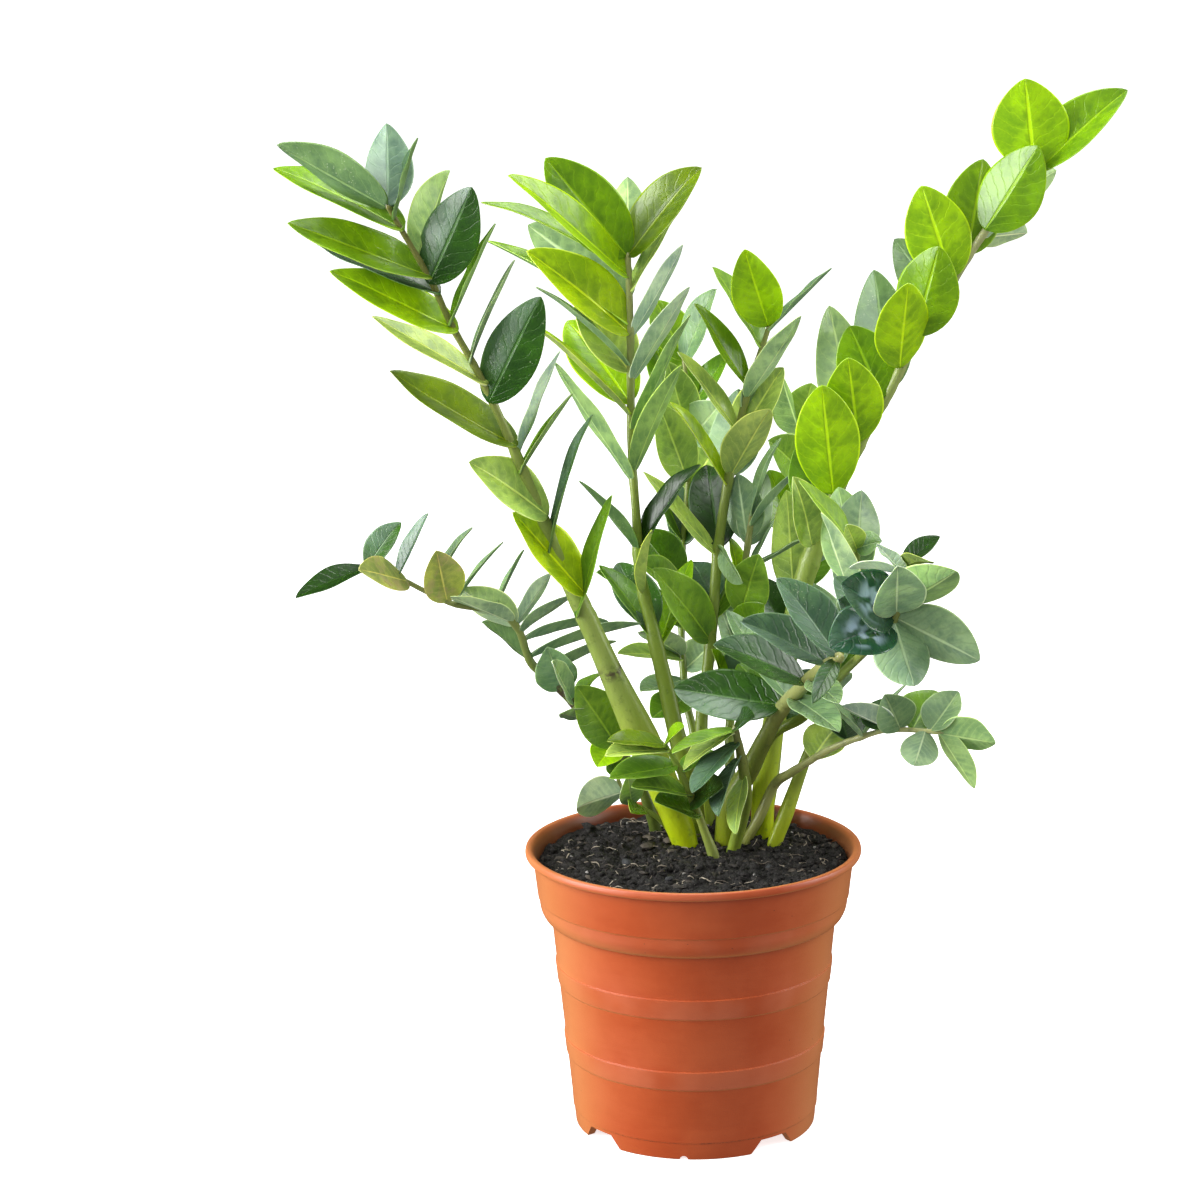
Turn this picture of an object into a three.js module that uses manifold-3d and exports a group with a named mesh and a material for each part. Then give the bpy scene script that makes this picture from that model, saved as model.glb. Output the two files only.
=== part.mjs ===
// A potted ZZ plant: a round terracotta-coloured plastic nursery pot, the potting soil in it,
// and leafy fronds that stand in holes in the soil. Each frond is one body: a fleshy tapering
// stalk with its leaflets grown on it.
//
// Units are millimetres and +Z is up. The origin is on the pot's axis at the surface the pot
// stands on, and the front of the plant looks towards -Y.

import * as THREE from 'three';
import { mergeVertices } from 'three/addons/utils/BufferGeometryUtils.js';
import Module from 'manifold-3d';

const wasm = await Module();
wasm.setup();

// ---------------------------------------------------------------- driving dimensions

// pot
const POT_HEIGHT = 145.6;
const POT_FOOT_RADIUS = 61.4;
const WALL_DRAFT = 0.1; // growth of the radius per millimetre of height
const WALL_THICKNESS = 2;
const RIB_HEIGHT = 0.7;
const LOWER_RIB = [37.5, 47.9]; // heights of the rib's two edges
const UPPER_RIB = [75.6, 86.5];
const SHOULDER_START = 109;
const SHOULDER_END = 120.5;
const BAND_RADIUS_LOW = 78.9;
const BAND_RADIUS_HIGH = 81.4;
const LIP_RADIUS = 85.3;
const LIP_BOTTOM = 141.4;
const LIP_BEVEL = 0.8;
const RIM_INNER_RADIUS = 82;
const POT_SIDES = 32;

// underside of the pot
const PAD_RADIUS = 20;
const BASE_RECESS = 7.2;
const FOOT_RING_WIDTH = 4.5;
const FLOOR_TOP = 9;
const NOTCH_HEIGHT = 7;
const NOTCH_ROOF_WIDTH = 16;
const NOTCH_GROUND_WIDTH = 27;
const FIRST_NOTCH_ANGLE = -50.4; // degrees, from +X
const DRAIN_RADIUS = 4;
const DRAIN_RING_RADIUS = 41;
const QUARTER_COUNT = 4;

// soil
const SOIL_LEVEL = 135;
const SOIL_MOUND = 3;
const SOIL_LUMP = 1.3;
const SOIL_RINGS = [0.8, 0.56, 0.3]; // shares of the soil's radius
const FIT_GAP = 0.3;

// fronds
const STALK_SIDES = 6;
const LEAF_THICKNESS = 1.6; // at the midrib
const LONG_LEAF = 34;
const LONG_LEAF_ROWS = [0.2, 0.5, 0.8]; // shares of the length
const SHORT_LEAF_ROWS = [0.3, 0.7];
const ROOT_OFFSET = 0.3; // share of the stalk's radius
const LEAST_ARCH = -0.02; // shares of the leaflet's length
const MOST_ARCH = 0.03;
const LEAST_FOLD = 0.25; // rise of the margins, as shares of half the width
const MOST_FOLD = 0.55;
const SEEDS_PER_FROND = 31;
const FRONT = new THREE.Vector3(0, -0.966, 0.259);

// Each frond's stalk is a row of points x, y, z and the stalk's radius there. The first point
// is its foot in the soil. Each leaflet has its place on the stalk, counted in stalk points, then
// its tip x, y, z, its width, and the angle by which its upper face turns away from the front.
const FRONDS = [
  {
    name: 'frond_left',
    stalk: [
      [0, 25, 109, 5.4], [-3, 24, 135, 6.4], [-13, 20, 166, 8.3],
      [-26, 14, 199, 8.6], [-41, 6, 235, 6.1], [-54, -1, 268, 4.9],
      [-67, -7, 299, 4], [-79, -14, 333, 2.8], [-91, -20, 365, 2.1],
      [-103, -26, 393, 1.8], [-114, -31, 415, 1.6], [-123, -36, 437, 1.5],
      [-135, -40, 460, 1.3], [-143, -43, 475, 1],
    ],
    leaflets: [
      [4.92, -39, -10, 327, 17, -62], [5.2, -87, -10, 319, 27, 42], [5.99, -49, -13, 368, 15, -72],
      [6.5, -107, -24, 347, 29, 40], [7.22, -57, -5, 377, 14, -78], [7.5, -64, -11, 400, 13, -110],
      [7.61, -146, -14, 390, 28, 48], [8.4, -71, -30, 428, 28, -8], [8.68, -154, -14, 417, 21, 56],
      [9.15, -83, -23, 445, 13, -78], [9.84, -171, -34, 443, 29, 46], [10.01, -93, -23, 463, 16, -74],
      [10.7, -180, -11, 452, 30, 62], [10.98, -102, -42, 482, 29, -10], [11.05, -190, -42, 466, 30, 48],
      [11.54, -116, -12, 488, 24, -118], [12.09, -201, -1, 489, 28, 48], [12.47, -129, -31, 505, 22, -78],
      [12.92, -195, -32, 503, 28, 122], [12.92, -144, -17, 511, 24, 174],
    ],
  },
  {
    name: 'frond_low_left',
    stalk: [
      [-17, 53, 109, 2.7], [-19, 52, 135, 3.2], [-27, 50, 163, 3],
      [-42, 46, 189, 2.8], [-56, 42, 204, 2.6], [-69, 38, 219, 2.3],
      [-82, 32, 233, 2.1], [-88, 26, 252, 1.8], [-98, 18, 263, 1.6],
      [-118, 8, 269, 1.4], [-132, 2, 277, 1.3], [-145, -3, 285, 1.2],
      [-162, -8, 292, 1],
    ],
    leaflets: [
      [2.88, -59, 27, 222, 26, 20], [2.88, -49, 28, 179, 18, 20], [3.81, -67, 19, 210, 13, 125],
      [4.38, -47, 51, 223, 12, -60], [4.45, -70, 2, 241, 15, 60], [4.89, -73, 23, 243, 22, 0],
      [5.47, -39, 41, 243, 14, -105], [5.98, -107, 42, 253, 25, 110], [6.16, -26, 45, 251, 14, -110],
      [6.65, -43, 44, 253, 13, -110], [6.9, -57, 9, 274, 13, -110], [7.18, -116, 17, 276, 26, 130],
      [7.2, -72, 41, 278, 14, -120], [7.41, -119, -9, 277, 22, 110], [8.05, -85, 42, 290, 12, -80],
      [9.05, -95, 28, 297, 12, -80], [9.3, -126, -8, 300, 22, 18], [9.85, -110, 9, 309, 12, -70],
      [10.78, -161, -42, 298, 20, 42], [11.08, -131, 3, 317, 14, -60], [11.92, -196, -14, 278, 20, 56],
      [11.92, -144, -4, 314, 16, -30],
    ],
  },
  {
    name: 'frond_centre',
    stalk: [
      [3, 45, 109, 4.4], [2, 44, 135, 5.2], [-1, 42, 163, 5.2],
      [-8, 43, 192, 4.6], [-14, 46, 220, 4.2], [-20, 49, 246, 3.4],
      [-26, 54, 274, 3], [-28, 58, 307, 2.2], [-30, 62, 338, 2],
      [-30, 66, 371, 1.9], [-30, 69, 404, 1.7], [-31, 72, 439, 1.3],
    ],
    leaflets: [
      [4.61, 0, 98, 273, 20, -46], [4.81, -48, 78, 274, 25, 60], [5, -38, 93, 272, 24, 20],
      [5.68, -20, 32, 302, 14, -110], [6.39, -56, 34, 327, 15, 110], [6.42, 4, 48, 333, 22, -60],
      [7.49, -68, 37, 387, 15, 120], [7.63, -4, 33, 386, 17, -126], [8.3, -1, 43, 411, 15, -112],
      [8.53, -80, 32, 410, 15, 82], [8.71, -63, 95, 401, 34, 24], [9.07, 0, 54, 423, 17, -120],
      [9.19, -58, 82, 415, 30, 30], [9.28, -76, 47, 425, 14, 84], [9.76, -3, 82, 441, 15, -118],
      [9.79, -82, 56, 441, 33, 36], [9.92, -104, 91, 443, 22, 64], [10.29, -83, 116, 448, 38, 165],
      [10.4, 1, 76, 468, 20, -66], [10.63, -87, 26, 483, 26, 50], [10.72, -106, 97, 464, 22, 64],
      [10.92, -72, 66, 487, 34, 14], [10.92, 6, 66, 482, 30, -38], [10.92, -31, 102, 474, 24, 180],
    ],
  },
  {
    name: 'frond_mid_right',
    stalk: [
      [9, 60, 109, 3.9], [8, 61, 135, 4.6], [6, 65, 162, 4.2],
      [5, 70, 192, 3.4], [9, 74, 224, 3], [12, 79, 255, 2.8],
      [15, 84, 286, 2.7], [20, 88, 317, 2.3], [26, 93, 345, 2.1],
      [32, 96, 368, 1.8], [38, 98, 385, 1.5], [42, 99, 397, 1.1],
    ],
    leaflets: [
      [4.33, -20, 50, 278, 25, 30], [4.67, 27, 109, 270, 18, -24], [5, 0, 109, 270, 22, 20],
      [5.75, -23, 73, 325, 16, 58], [5.87, 9, 127, 319, 27, 10], [5.87, 26, 45, 271, 14, 60],
      [6.9, -9, 74, 361, 17, 66], [7.08, 41, 74, 357, 24, -142], [7.08, 26, 114, 361, 28, 170],
      [7.72, 49, 104, 374, 24, -30], [7.88, -6, 85, 385, 18, 58], [8.25, 58, 122, 396, 26, -110],
      [8.59, 57, 64, 406, 18, -124], [8.85, 4, 88, 410, 20, 54], [9.97, 13, 112, 426, 23, 56],
      [10.7, 74, 100, 426, 13, -78], [10.92, 29, 91, 437, 26, -12],
    ],
  },
  {
    name: 'frond_right',
    stalk: [
      [36, 40, 109, 4.9], [36, 40, 135, 5.8], [37, 40, 163, 6],
      [43, 40, 203, 5.8], [49, 41, 234, 5.6], [55, 42, 263, 5.4],
      [61, 43, 283, 5.2], [69, 44, 304, 4], [79, 46, 327, 3],
      [90, 48, 349, 2.7], [102, 50, 370, 2.6], [114, 52, 394, 2.5],
      [128, 54, 415, 2.3], [139, 55, 433, 2.1], [149, 56, 448, 1.9],
      [162, 57, 464, 1.6], [176, 58, 480, 1.2],
    ],
    leaflets: [
      [5.98, 94, 73, 298, 24, -120], [6.35, 52, 29, 328, 22, 30], [6.92, 57, 64, 341, 24, 20],
      [7.53, 66, 29, 375, 33, -2], [8.66, 72, 81, 409, 30, 168], [8.71, 79, 27, 388, 30, -6],
      [9.72, 81, 56, 401, 31, -4], [10, 95, 80, 427, 30, 172], [10.42, 109, 33, 425, 30, 26],
      [11.08, 125, 44, 442, 33, -16], [11.93, 106, 84, 442, 26, 160], [12.49, 117, 57, 471, 33, -8],
      [13.22, 149, 71, 483, 31, 12], [13.84, 173, 82, 445, 22, -120], [14.05, 174, 50, 491, 34, -20],
      [15.08, 187, 87, 476, 20, -150], [15.88, 168, 56, 524, 39, -8], [15.92, 219, 60, 518, 31, -38],
    ],
  },
  {
    name: 'frond_front_right',
    stalk: [
      [15, 30, 109, 4.4], [16, 28, 135, 5.2], [19, 21, 160, 5.7],
      [29, 13, 181, 5.2], [37, 5, 200, 4.2], [45, -4, 217, 3.8],
      [54, -22, 232, 3.5], [63, -44, 247, 3.2], [72, -67, 259, 2.4],
    ],
    leaflets: [
      [4.96, 24, 25, 234, 22, 30], [5.09, -9, 7, 225, 31, 32], [5.38, 18, 26, 261, 20, 40],
      [5.58, 71, -61, 220, 20, -40], [6.29, 11, -44, 260, 27, 46], [6.53, 70, -78, 239, 16, -30],
      [7.33, 24, -60, 275, 27, 48], [7.78, 57, -92, 242, 10, 10], [7.82, 42, -49, 294, 28, 40],
    ],
  },
  {
    name: 'frond_front_rosette',
    stalk: [
      [18, 51, 109, 3.1], [19, 48, 135, 3.6], [22, 38, 158, 3.4],
      [30, 27, 176, 3.1], [41, 18, 198, 2.9], [56, 3, 211, 2.6],
      [67, -25, 232, 2.4], [76, -53, 250, 2.2], [85, -78, 266, 2],
      [94, -98, 282, 1.8], [98, -104, 298, 1.5], [99, -104, 312, 1],
    ],
    leaflets: [
      [8.18, 94, -106, 262, 22, -110], [8.43, 68, -106, 295, 24, 30], [8.62, 68, -78, 300, 27, 40],
      [8.98, 64, -128, 278, 29, 24], [9.1, 103, -121, 257, 27, 170], [9.17, 69, -118, 305, 30, 26],
      [9.21, 134, -112, 267, 27, -148], [9.37, 94, -138, 317, 26, 10], [9.62, 121, -129, 313, 27, -140],
      [10.61, 74, -98, 309, 14, 100], [10.68, 86, -114, 323, 13, 110], [10.89, 116, -98, 323, 14, -50],
      [10.89, 109, -130, 318, 14, -110],
    ],
  },
  {
    name: 'frond_low_right',
    stalk: [
      [23, 28, 109, 2.4], [26, 26, 135, 2.8], [34, 22, 153, 2.8],
      [42, 20, 171, 2.6], [49, 8, 180, 2.3], [57, -2, 188, 1.9],
      [69, -8, 197, 1.7], [83, -13, 204, 1.5], [99, -20, 210, 1.3],
      [124, -30, 211, 1],
    ],
    leaflets: [
      [5.29, 74, 16, 203, 22, -20], [6.64, 74, 17, 213, 24, 20], [7.11, 67, -20, 225, 16, 80],
      [7.11, 108, 11, 226, 10, -80], [8.01, 74, -30, 225, 20, 118], [8.1, 89, -3, 219, 24, 20],
      [8.19, 95, -28, 230, 22, 10], [8.42, 122, -1, 225, 24, -20], [8.66, 108, -53, 200, 19, -170],
      [8.75, 132, -19, 229, 22, -40], [8.92, 149, -38, 208, 22, -136], [8.92, 139, -36, 184, 15, -132],
    ],
  },
  {
    name: 'frond_back_right',
    stalk: [
      [38, 23, 109, 3.2], [41, 23, 135, 3.8], [48, 24, 155, 4],
      [55, 27, 174, 3.1], [62, 28, 193, 2.5], [69, 26, 214, 2.2],
      [75, 22, 238, 2], [80, 17, 263, 1.9], [83, 12, 284, 1.7],
      [83, 9, 297, 1.1],
    ],
    leaflets: [
      [4.7, 48, 10, 212, 20, 60], [4.86, 79, 10, 232, 20, -130], [5.42, 91, 45, 241, 22, -60],
      [5.74, 59, 53, 270, 28, 160], [6.71, 71, 33, 293, 24, 110], [6.71, 95, -3, 284, 24, -140],
      [7.31, 65, -17, 320, 22, 110], [7.67, 75, 31, 323, 28, 170], [8.57, 86, 27, 322, 24, -170],
      [8.75, 54, 17, 329, 22, 64], [8.92, 77, -5, 311, 13, 10], [8.92, 95, 3, 301, 14, -30],
    ],
  },
  {
    name: 'frond_front_small',
    stalk: [
      [13, 4, 109, 2.6], [11, 3, 135, 3.1], [6, 0, 152, 2.2],
      [0, -4, 170, 1.9], [-7, -9, 188, 1.7], [-14, -13, 202, 1],
    ],
    leaflets: [
      [2.58, -19, -24, 175, 20, 60], [3, 15, -34, 185, 20, -50], [3.15, -30, -27, 184, 20, 62],
      [3.88, 12, -3, 195, 18, -60], [4.1, -41, -29, 189, 20, 52], [4.69, -43, -30, 201, 18, 58],
      [4.92, -42, -27, 207, 17, 62], [4.92, -4, -33, 216, 12, -70],
    ],
  },
  {
    name: 'frond_left_sprig',
    stalk: [
      [-5, 47, 109, 1.5], [-10, 44, 135, 1.8], [-17, 40, 147, 1.5],
      [-26, 40, 153, 1.3], [-33, 38, 158, 1.2], [-39, 36, 171, 0.9],
    ],
    leaflets: [
      [3.31, -31, 9, 160, 12, 10], [3.83, -33, 22, 175, 14, 20], [4.44, -60, 15, 161, 22, 150],
      [4.92, -42, 42, 180, 12, 30],
    ],
  },
  {
    name: 'frond_inner',
    stalk: [
      [18, 16, 109, 2.9], [20, 14, 135, 3.4], [27, 6, 166, 3],
      [25, -6, 190, 2.6], [21, -13, 211, 1.4],
    ],
    leaflets: [
      [2.64, 21, -24, 158, 18, 60], [3.16, 12, -33, 170, 20, 70], [3.54, 0, -38, 183, 20, 60],
      [3.82, -5, -18, 190, 19, 66], [3.88, -10, -32, 202, 18, 70], [3.92, 30, -42, 223, 15, -60],
    ],
  },
  {
    name: 'frond_mid_short',
    stalk: [
      [23, 60, 109, 2.5], [22, 61, 135, 3], [20, 66, 161, 2.8],
      [20, 71, 192, 2.4], [24, 73, 224, 2.1], [26, 76, 250, 1.9],
      [28, 79, 271, 1.8], [31, 82, 292, 1.6], [32, 84, 301, 1.1],
    ],
    leaflets: [
      [3.33, 11, 60, 233, 18, 60], [3.49, 33, 52, 240, 22, -30], [4.18, 14, 89, 252, 18, 140],
      [4.38, 38, 58, 257, 22, -30], [4.96, 35, 54, 284, 24, -10], [5.44, 21, 93, 286, 18, 60],
      [5.73, 45, 96, 297, 12, -80], [5.96, 62, 59, 294, 14, -84], [6.58, 40, 99, 318, 20, -160],
      [6.69, 25, 89, 320, 22, 160], [7.13, 57, 68, 327, 16, -100], [7.71, 46, 77, 341, 15, -78],
    ],
  },
  {
    name: 'frond_back_left',
    stalk: [
      [-12, 63, 109, 2.5], [-10, 66, 135, 3], [-5, 74, 154, 2.8],
      [1, 84, 176, 2.4], [-3, 96, 197, 2], [-5, 108, 221, 1.8],
      [-5, 118, 247, 1.6], [-4, 128, 277, 1.5], [-1, 136, 309, 1.4],
      [0, 142, 340, 1.3], [-3, 146, 375, 1],
    ],
    leaflets: [
      [4, -21, 76, 193, 22, 40], [4.41, -27, 77, 207, 20, 60], [4.61, 13, 114, 225, 22, -30],
      [4.82, -39, 80, 226, 18, 62], [4.91, -27, 77, 239, 20, 120], [5.5, -49, 83, 270, 24, 56],
      [5.61, 14, 128, 255, 26, -30], [5.98, -27, 88, 275, 22, 50], [6.34, -27, 105, 287, 26, 30],
      [6.93, 5, 141, 309, 24, -30], [7, -19, 140, 308, 24, 60], [7.8, 17, 150, 329, 26, -20],
      [7.98, -16, 116, 353, 24, 20], [8.68, 16, 120, 352, 26, -10], [8.68, -11, 118, 375, 22, 20],
      [9.16, 21, 145, 376, 22, -50], [9.25, -21, 153, 382, 28, 20], [9.92, 14, 131, 412, 24, -50],
      [9.92, -18, 160, 403, 24, 20],
    ],
  },
  {
    name: 'frond_back_far',
    stalk: [
      [36, 51, 109, 2.9], [37, 54, 135, 3.4], [42, 64, 161, 3.2],
      [46, 78, 190, 2.9], [50, 88, 220, 2.6], [54, 98, 250, 2.4],
      [56, 108, 281, 2.1], [58, 116, 312, 1.8], [58, 122, 338, 1.1],
    ],
    leaflets: [
      [3, 64, 92, 214, 24, -30], [3.51, 30, 97, 229, 24, 30], [4.18, 71, 104, 249, 26, -30],
      [4.33, 35, 103, 263, 26, 30], [5.09, 50, 79, 313, 24, 20], [5.18, 74, 116, 279, 26, -30],
      [5.91, 76, 132, 303, 26, -20], [6, 42, 118, 317, 26, 20], [6.98, 75, 132, 336, 26, -20],
      [7.18, 41, 93, 337, 24, 20], [7.92, 48, 116, 367, 22, -130], [7.92, 65, 134, 361, 22, -10],
    ],
  },
];

// ---------------------------------------------------------------- solids

// A closed geometry with shared vertices becomes a solid that can be joined and cut.
function solid(geometry) {
  const bare = geometry.clone();
  bare.deleteAttribute('normal');
  bare.deleteAttribute('uv');
  const merged = mergeVertices(bare, 1e-4);
  return new wasm.Manifold(
    new wasm.Mesh({
      numProp: 3,
      vertProperties: new Float32Array(merged.attributes.position.array),
      triVerts: new Uint32Array(merged.index.array),
    }),
  );
}

function geometryOf(body) {
  const mesh = body.getMesh();
  const geometry = new THREE.BufferGeometry();
  geometry.setAttribute('position', new THREE.BufferAttribute(mesh.vertProperties, 3));
  geometry.setIndex(new THREE.BufferAttribute(mesh.triVerts, 1));
  geometry.computeVertexNormals();
  return geometry;
}

function geometryFrom(points, triangles) {
  const geometry = new THREE.BufferGeometry().setFromPoints(points);
  geometry.setIndex(triangles);
  return geometry;
}

// A profile of radius and height pairs, turned about the Z axis.
function turned(profile) {
  const outline = profile.map(([radius, height]) => new THREE.Vector2(radius, height));
  const lathe = new THREE.LatheGeometry(outline, POT_SIDES);
  lathe.rotateX(Math.PI / 2);
  return lathe;
}

// A repeatable number between 0 and 1.
function wobble(seed) {
  const value = Math.sin(seed * 12.9898 + 4.1) * 43758.5453;
  return value - Math.floor(value);
}

// ---------------------------------------------------------------- pot

function wallRadius(height) {
  return POT_FOOT_RADIUS + WALL_DRAFT * height;
}

// The two edges of a rib, with its sloping flanks.
function ribProfile([low, high]) {
  return [
    [wallRadius(low), low],
    [wallRadius(low) + RIB_HEIGHT, low + RIB_HEIGHT],
    [wallRadius(high) + RIB_HEIGHT, high - RIB_HEIGHT],
    [wallRadius(high), high],
  ];
}

function potInnerRadius(height) {
  if (height <= SHOULDER_START) {
    return wallRadius(height) - WALL_THICKNESS;
  }
  if (height < SHOULDER_END) {
    const share = (height - SHOULDER_START) / (SHOULDER_END - SHOULDER_START);
    const low = wallRadius(SHOULDER_START);
    return THREE.MathUtils.lerp(low, BAND_RADIUS_LOW, share) - WALL_THICKNESS;
  }
  const share = (height - SHOULDER_END) / (LIP_BOTTOM - SHOULDER_END);
  return THREE.MathUtils.lerp(BAND_RADIUS_LOW, BAND_RADIUS_HIGH, share) - WALL_THICKNESS;
}

// What a foot notch takes out of the foot ring on the +X side. It is widest at the ground.
function notchGeometry() {
  const roofHalf = 0.5 * NOTCH_ROOF_WIDTH;
  const slope = 0.5 * (NOTCH_GROUND_WIDTH - NOTCH_ROOF_WIDTH) / NOTCH_HEIGHT;
  const lowHalf = roofHalf + slope * (NOTCH_HEIGHT + 1);
  const outline = new THREE.Shape([
    new THREE.Vector2(-lowHalf, -1),
    new THREE.Vector2(lowHalf, -1),
    new THREE.Vector2(roofHalf, NOTCH_HEIGHT),
    new THREE.Vector2(-roofHalf, NOTCH_HEIGHT),
  ]);
  const notch = new THREE.ExtrudeGeometry(outline, {
    depth: 4 * FOOT_RING_WIDTH,
    bevelEnabled: false,
  });
  notch.rotateY(Math.PI / 2);
  notch.rotateX(Math.PI / 2);
  notch.translate(POT_FOOT_RADIUS - 2.5 * FOOT_RING_WIDTH, 0, 0);
  return notch;
}

function potSolid() {
  const footInner = POT_FOOT_RADIUS - FOOT_RING_WIDTH;
  const body = solid(
    turned([
      [0, 0],
      [PAD_RADIUS, 0],
      [PAD_RADIUS + 2, BASE_RECESS],
      [footInner, BASE_RECESS],
      [footInner, 0],
      [POT_FOOT_RADIUS, 0],
      ...ribProfile(LOWER_RIB),
      ...ribProfile(UPPER_RIB),
      [wallRadius(SHOULDER_START), SHOULDER_START],
      [BAND_RADIUS_LOW, SHOULDER_END],
      [BAND_RADIUS_HIGH, LIP_BOTTOM],
      [LIP_RADIUS - LIP_BEVEL, LIP_BOTTOM],
      [LIP_RADIUS, LIP_BOTTOM + LIP_BEVEL],
      [LIP_RADIUS, POT_HEIGHT - LIP_BEVEL],
      [LIP_RADIUS - LIP_BEVEL, POT_HEIGHT],
      [RIM_INNER_RADIUS, POT_HEIGHT],
      [potInnerRadius(LIP_BOTTOM), LIP_BOTTOM],
      [potInnerRadius(SHOULDER_END), SHOULDER_END],
      [potInnerRadius(SHOULDER_START), SHOULDER_START],
      [potInnerRadius(FLOOR_TOP), FLOOR_TOP],
      [0, FLOOR_TOP],
    ]),
  );
  const cuts = [];
  for (let quarter = 0; quarter < QUARTER_COUNT; quarter += 1) {
    const angle = THREE.MathUtils.degToRad(FIRST_NOTCH_ANGLE + (360 / QUARTER_COUNT) * quarter);
    const notch = notchGeometry();
    notch.rotateZ(angle);
    cuts.push(solid(notch));
    const drain = new THREE.CylinderGeometry(DRAIN_RADIUS, DRAIN_RADIUS, 4 * FLOOR_TOP, 8);
    drain.rotateX(Math.PI / 2);
    drain.translate(DRAIN_RING_RADIUS, 0, 0);
    drain.rotateZ(angle);
    cuts.push(solid(drain));
  }
  return body.subtract(wasm.Manifold.union(cuts));
}

// ---------------------------------------------------------------- soil

function soilLump(x, y) {
  const coarse = Math.sin(0.11 * x + 1.3) * Math.cos(0.13 * y - 0.4);
  const fine = Math.sin(0.29 * x - 0.21 * y) * Math.cos(0.24 * x + 0.31 * y + 0.8);
  return SOIL_LUMP * (0.7 * coarse + 0.6 * fine);
}

function soilSolid() {
  const edgeRadius = potInnerRadius(SOIL_LEVEL) - FIT_GAP;
  const geometry = turned([
    [0, FLOOR_TOP + FIT_GAP],
    [potInnerRadius(FLOOR_TOP) - FIT_GAP, FLOOR_TOP + FIT_GAP],
    [potInnerRadius(SHOULDER_START) - FIT_GAP, SHOULDER_START],
    [potInnerRadius(SHOULDER_END) - FIT_GAP, SHOULDER_END],
    [edgeRadius, SOIL_LEVEL],
    ...SOIL_RINGS.map((share) => [share * edgeRadius, SOIL_LEVEL]),
    [0, SOIL_LEVEL],
  ]);
  const position = geometry.attributes.position;
  for (let i = 0; i < position.count; i += 1) {
    const x = position.getX(i);
    const y = position.getY(i);
    const share = Math.hypot(x, y) / edgeRadius;
    if (position.getZ(i) > SOIL_LEVEL - 1 && share < 0.95) {
      position.setZ(i, SOIL_LEVEL + SOIL_MOUND * (1 - share * share) + soilLump(x, y));
    }
  }
  return solid(geometry);
}

// ---------------------------------------------------------------- fronds

function stalkCurve(frond) {
  const points = frond.stalk.map(([x, y, z]) => new THREE.Vector3(x, y, z));
  return new THREE.CatmullRomCurve3(points, false, 'catmullrom', 0.5);
}

function stalkRadius(frond, place) {
  const index = Math.min(Math.floor(place), frond.stalk.length - 2);
  return THREE.MathUtils.lerp(frond.stalk[index][3], frond.stalk[index + 1][3], place - index);
}

// A tapering tube with flat ends along the stalk. Swelling it makes the hole that it stands in.
function stalkSolid(frond, swell) {
  const curve = stalkCurve(frond);
  const spans = frond.stalk.length - 1;
  const points = [];
  const triangles = [];
  for (let ring = 0; ring <= spans; ring += 1) {
    const share = ring / spans;
    const centre = curve.getPoint(share);
    const along = curve.getTangent(share);
    const side = new THREE.Vector3().crossVectors(along, new THREE.Vector3(0, 1, 0)).normalize();
    const back = new THREE.Vector3().crossVectors(along, side);
    const radius = stalkRadius(frond, share * spans) + swell;
    if (ring === 0) {
      centre.addScaledVector(along, -swell);
    }
    for (let k = 0; k < STALK_SIDES; k += 1) {
      const angle = (2 * Math.PI * k) / STALK_SIDES;
      const point = centre.clone();
      point.addScaledVector(side, radius * Math.cos(angle));
      point.addScaledVector(back, radius * Math.sin(angle));
      points.push(point);
      if (ring > 0) {
        const here = ring * STALK_SIDES + k;
        const next = ring * STALK_SIDES + ((k + 1) % STALK_SIDES);
        triangles.push(here - STALK_SIDES, next, here);
        triangles.push(here - STALK_SIDES, next - STALK_SIDES, next);
      }
    }
  }
  const last = spans * STALK_SIDES;
  for (let k = 1; k < STALK_SIDES - 1; k += 1) {
    triangles.push(0, k + 1, k);
    triangles.push(last, last + k, last + k + 1);
  }
  return solid(geometryFrom(points, triangles));
}

// Half of the leaflet's width at a share of its length: a broad oval with a short point.
function halfWidth(width, share) {
  return 0.5 * width * Math.sin(Math.PI * share ** 0.95) ** 0.75;
}

// Where a leaflet grows from: inside the stalk, on the side that its tip lies on.
function leafletRoot(frond, place, tip) {
  const index = Math.min(Math.floor(place), frond.stalk.length - 2);
  const before = new THREE.Vector3(...frond.stalk[index].slice(0, 3));
  const after = new THREE.Vector3(...frond.stalk[index + 1].slice(0, 3));
  const root = before.clone().lerp(after, place - index);
  const along = after.sub(before).normalize();
  const outward = tip.clone().sub(root);
  outward.addScaledVector(along, -outward.dot(along)).normalize();
  return root.addScaledVector(outward, ROOT_OFFSET * stalkRadius(frond, place));
}

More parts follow.
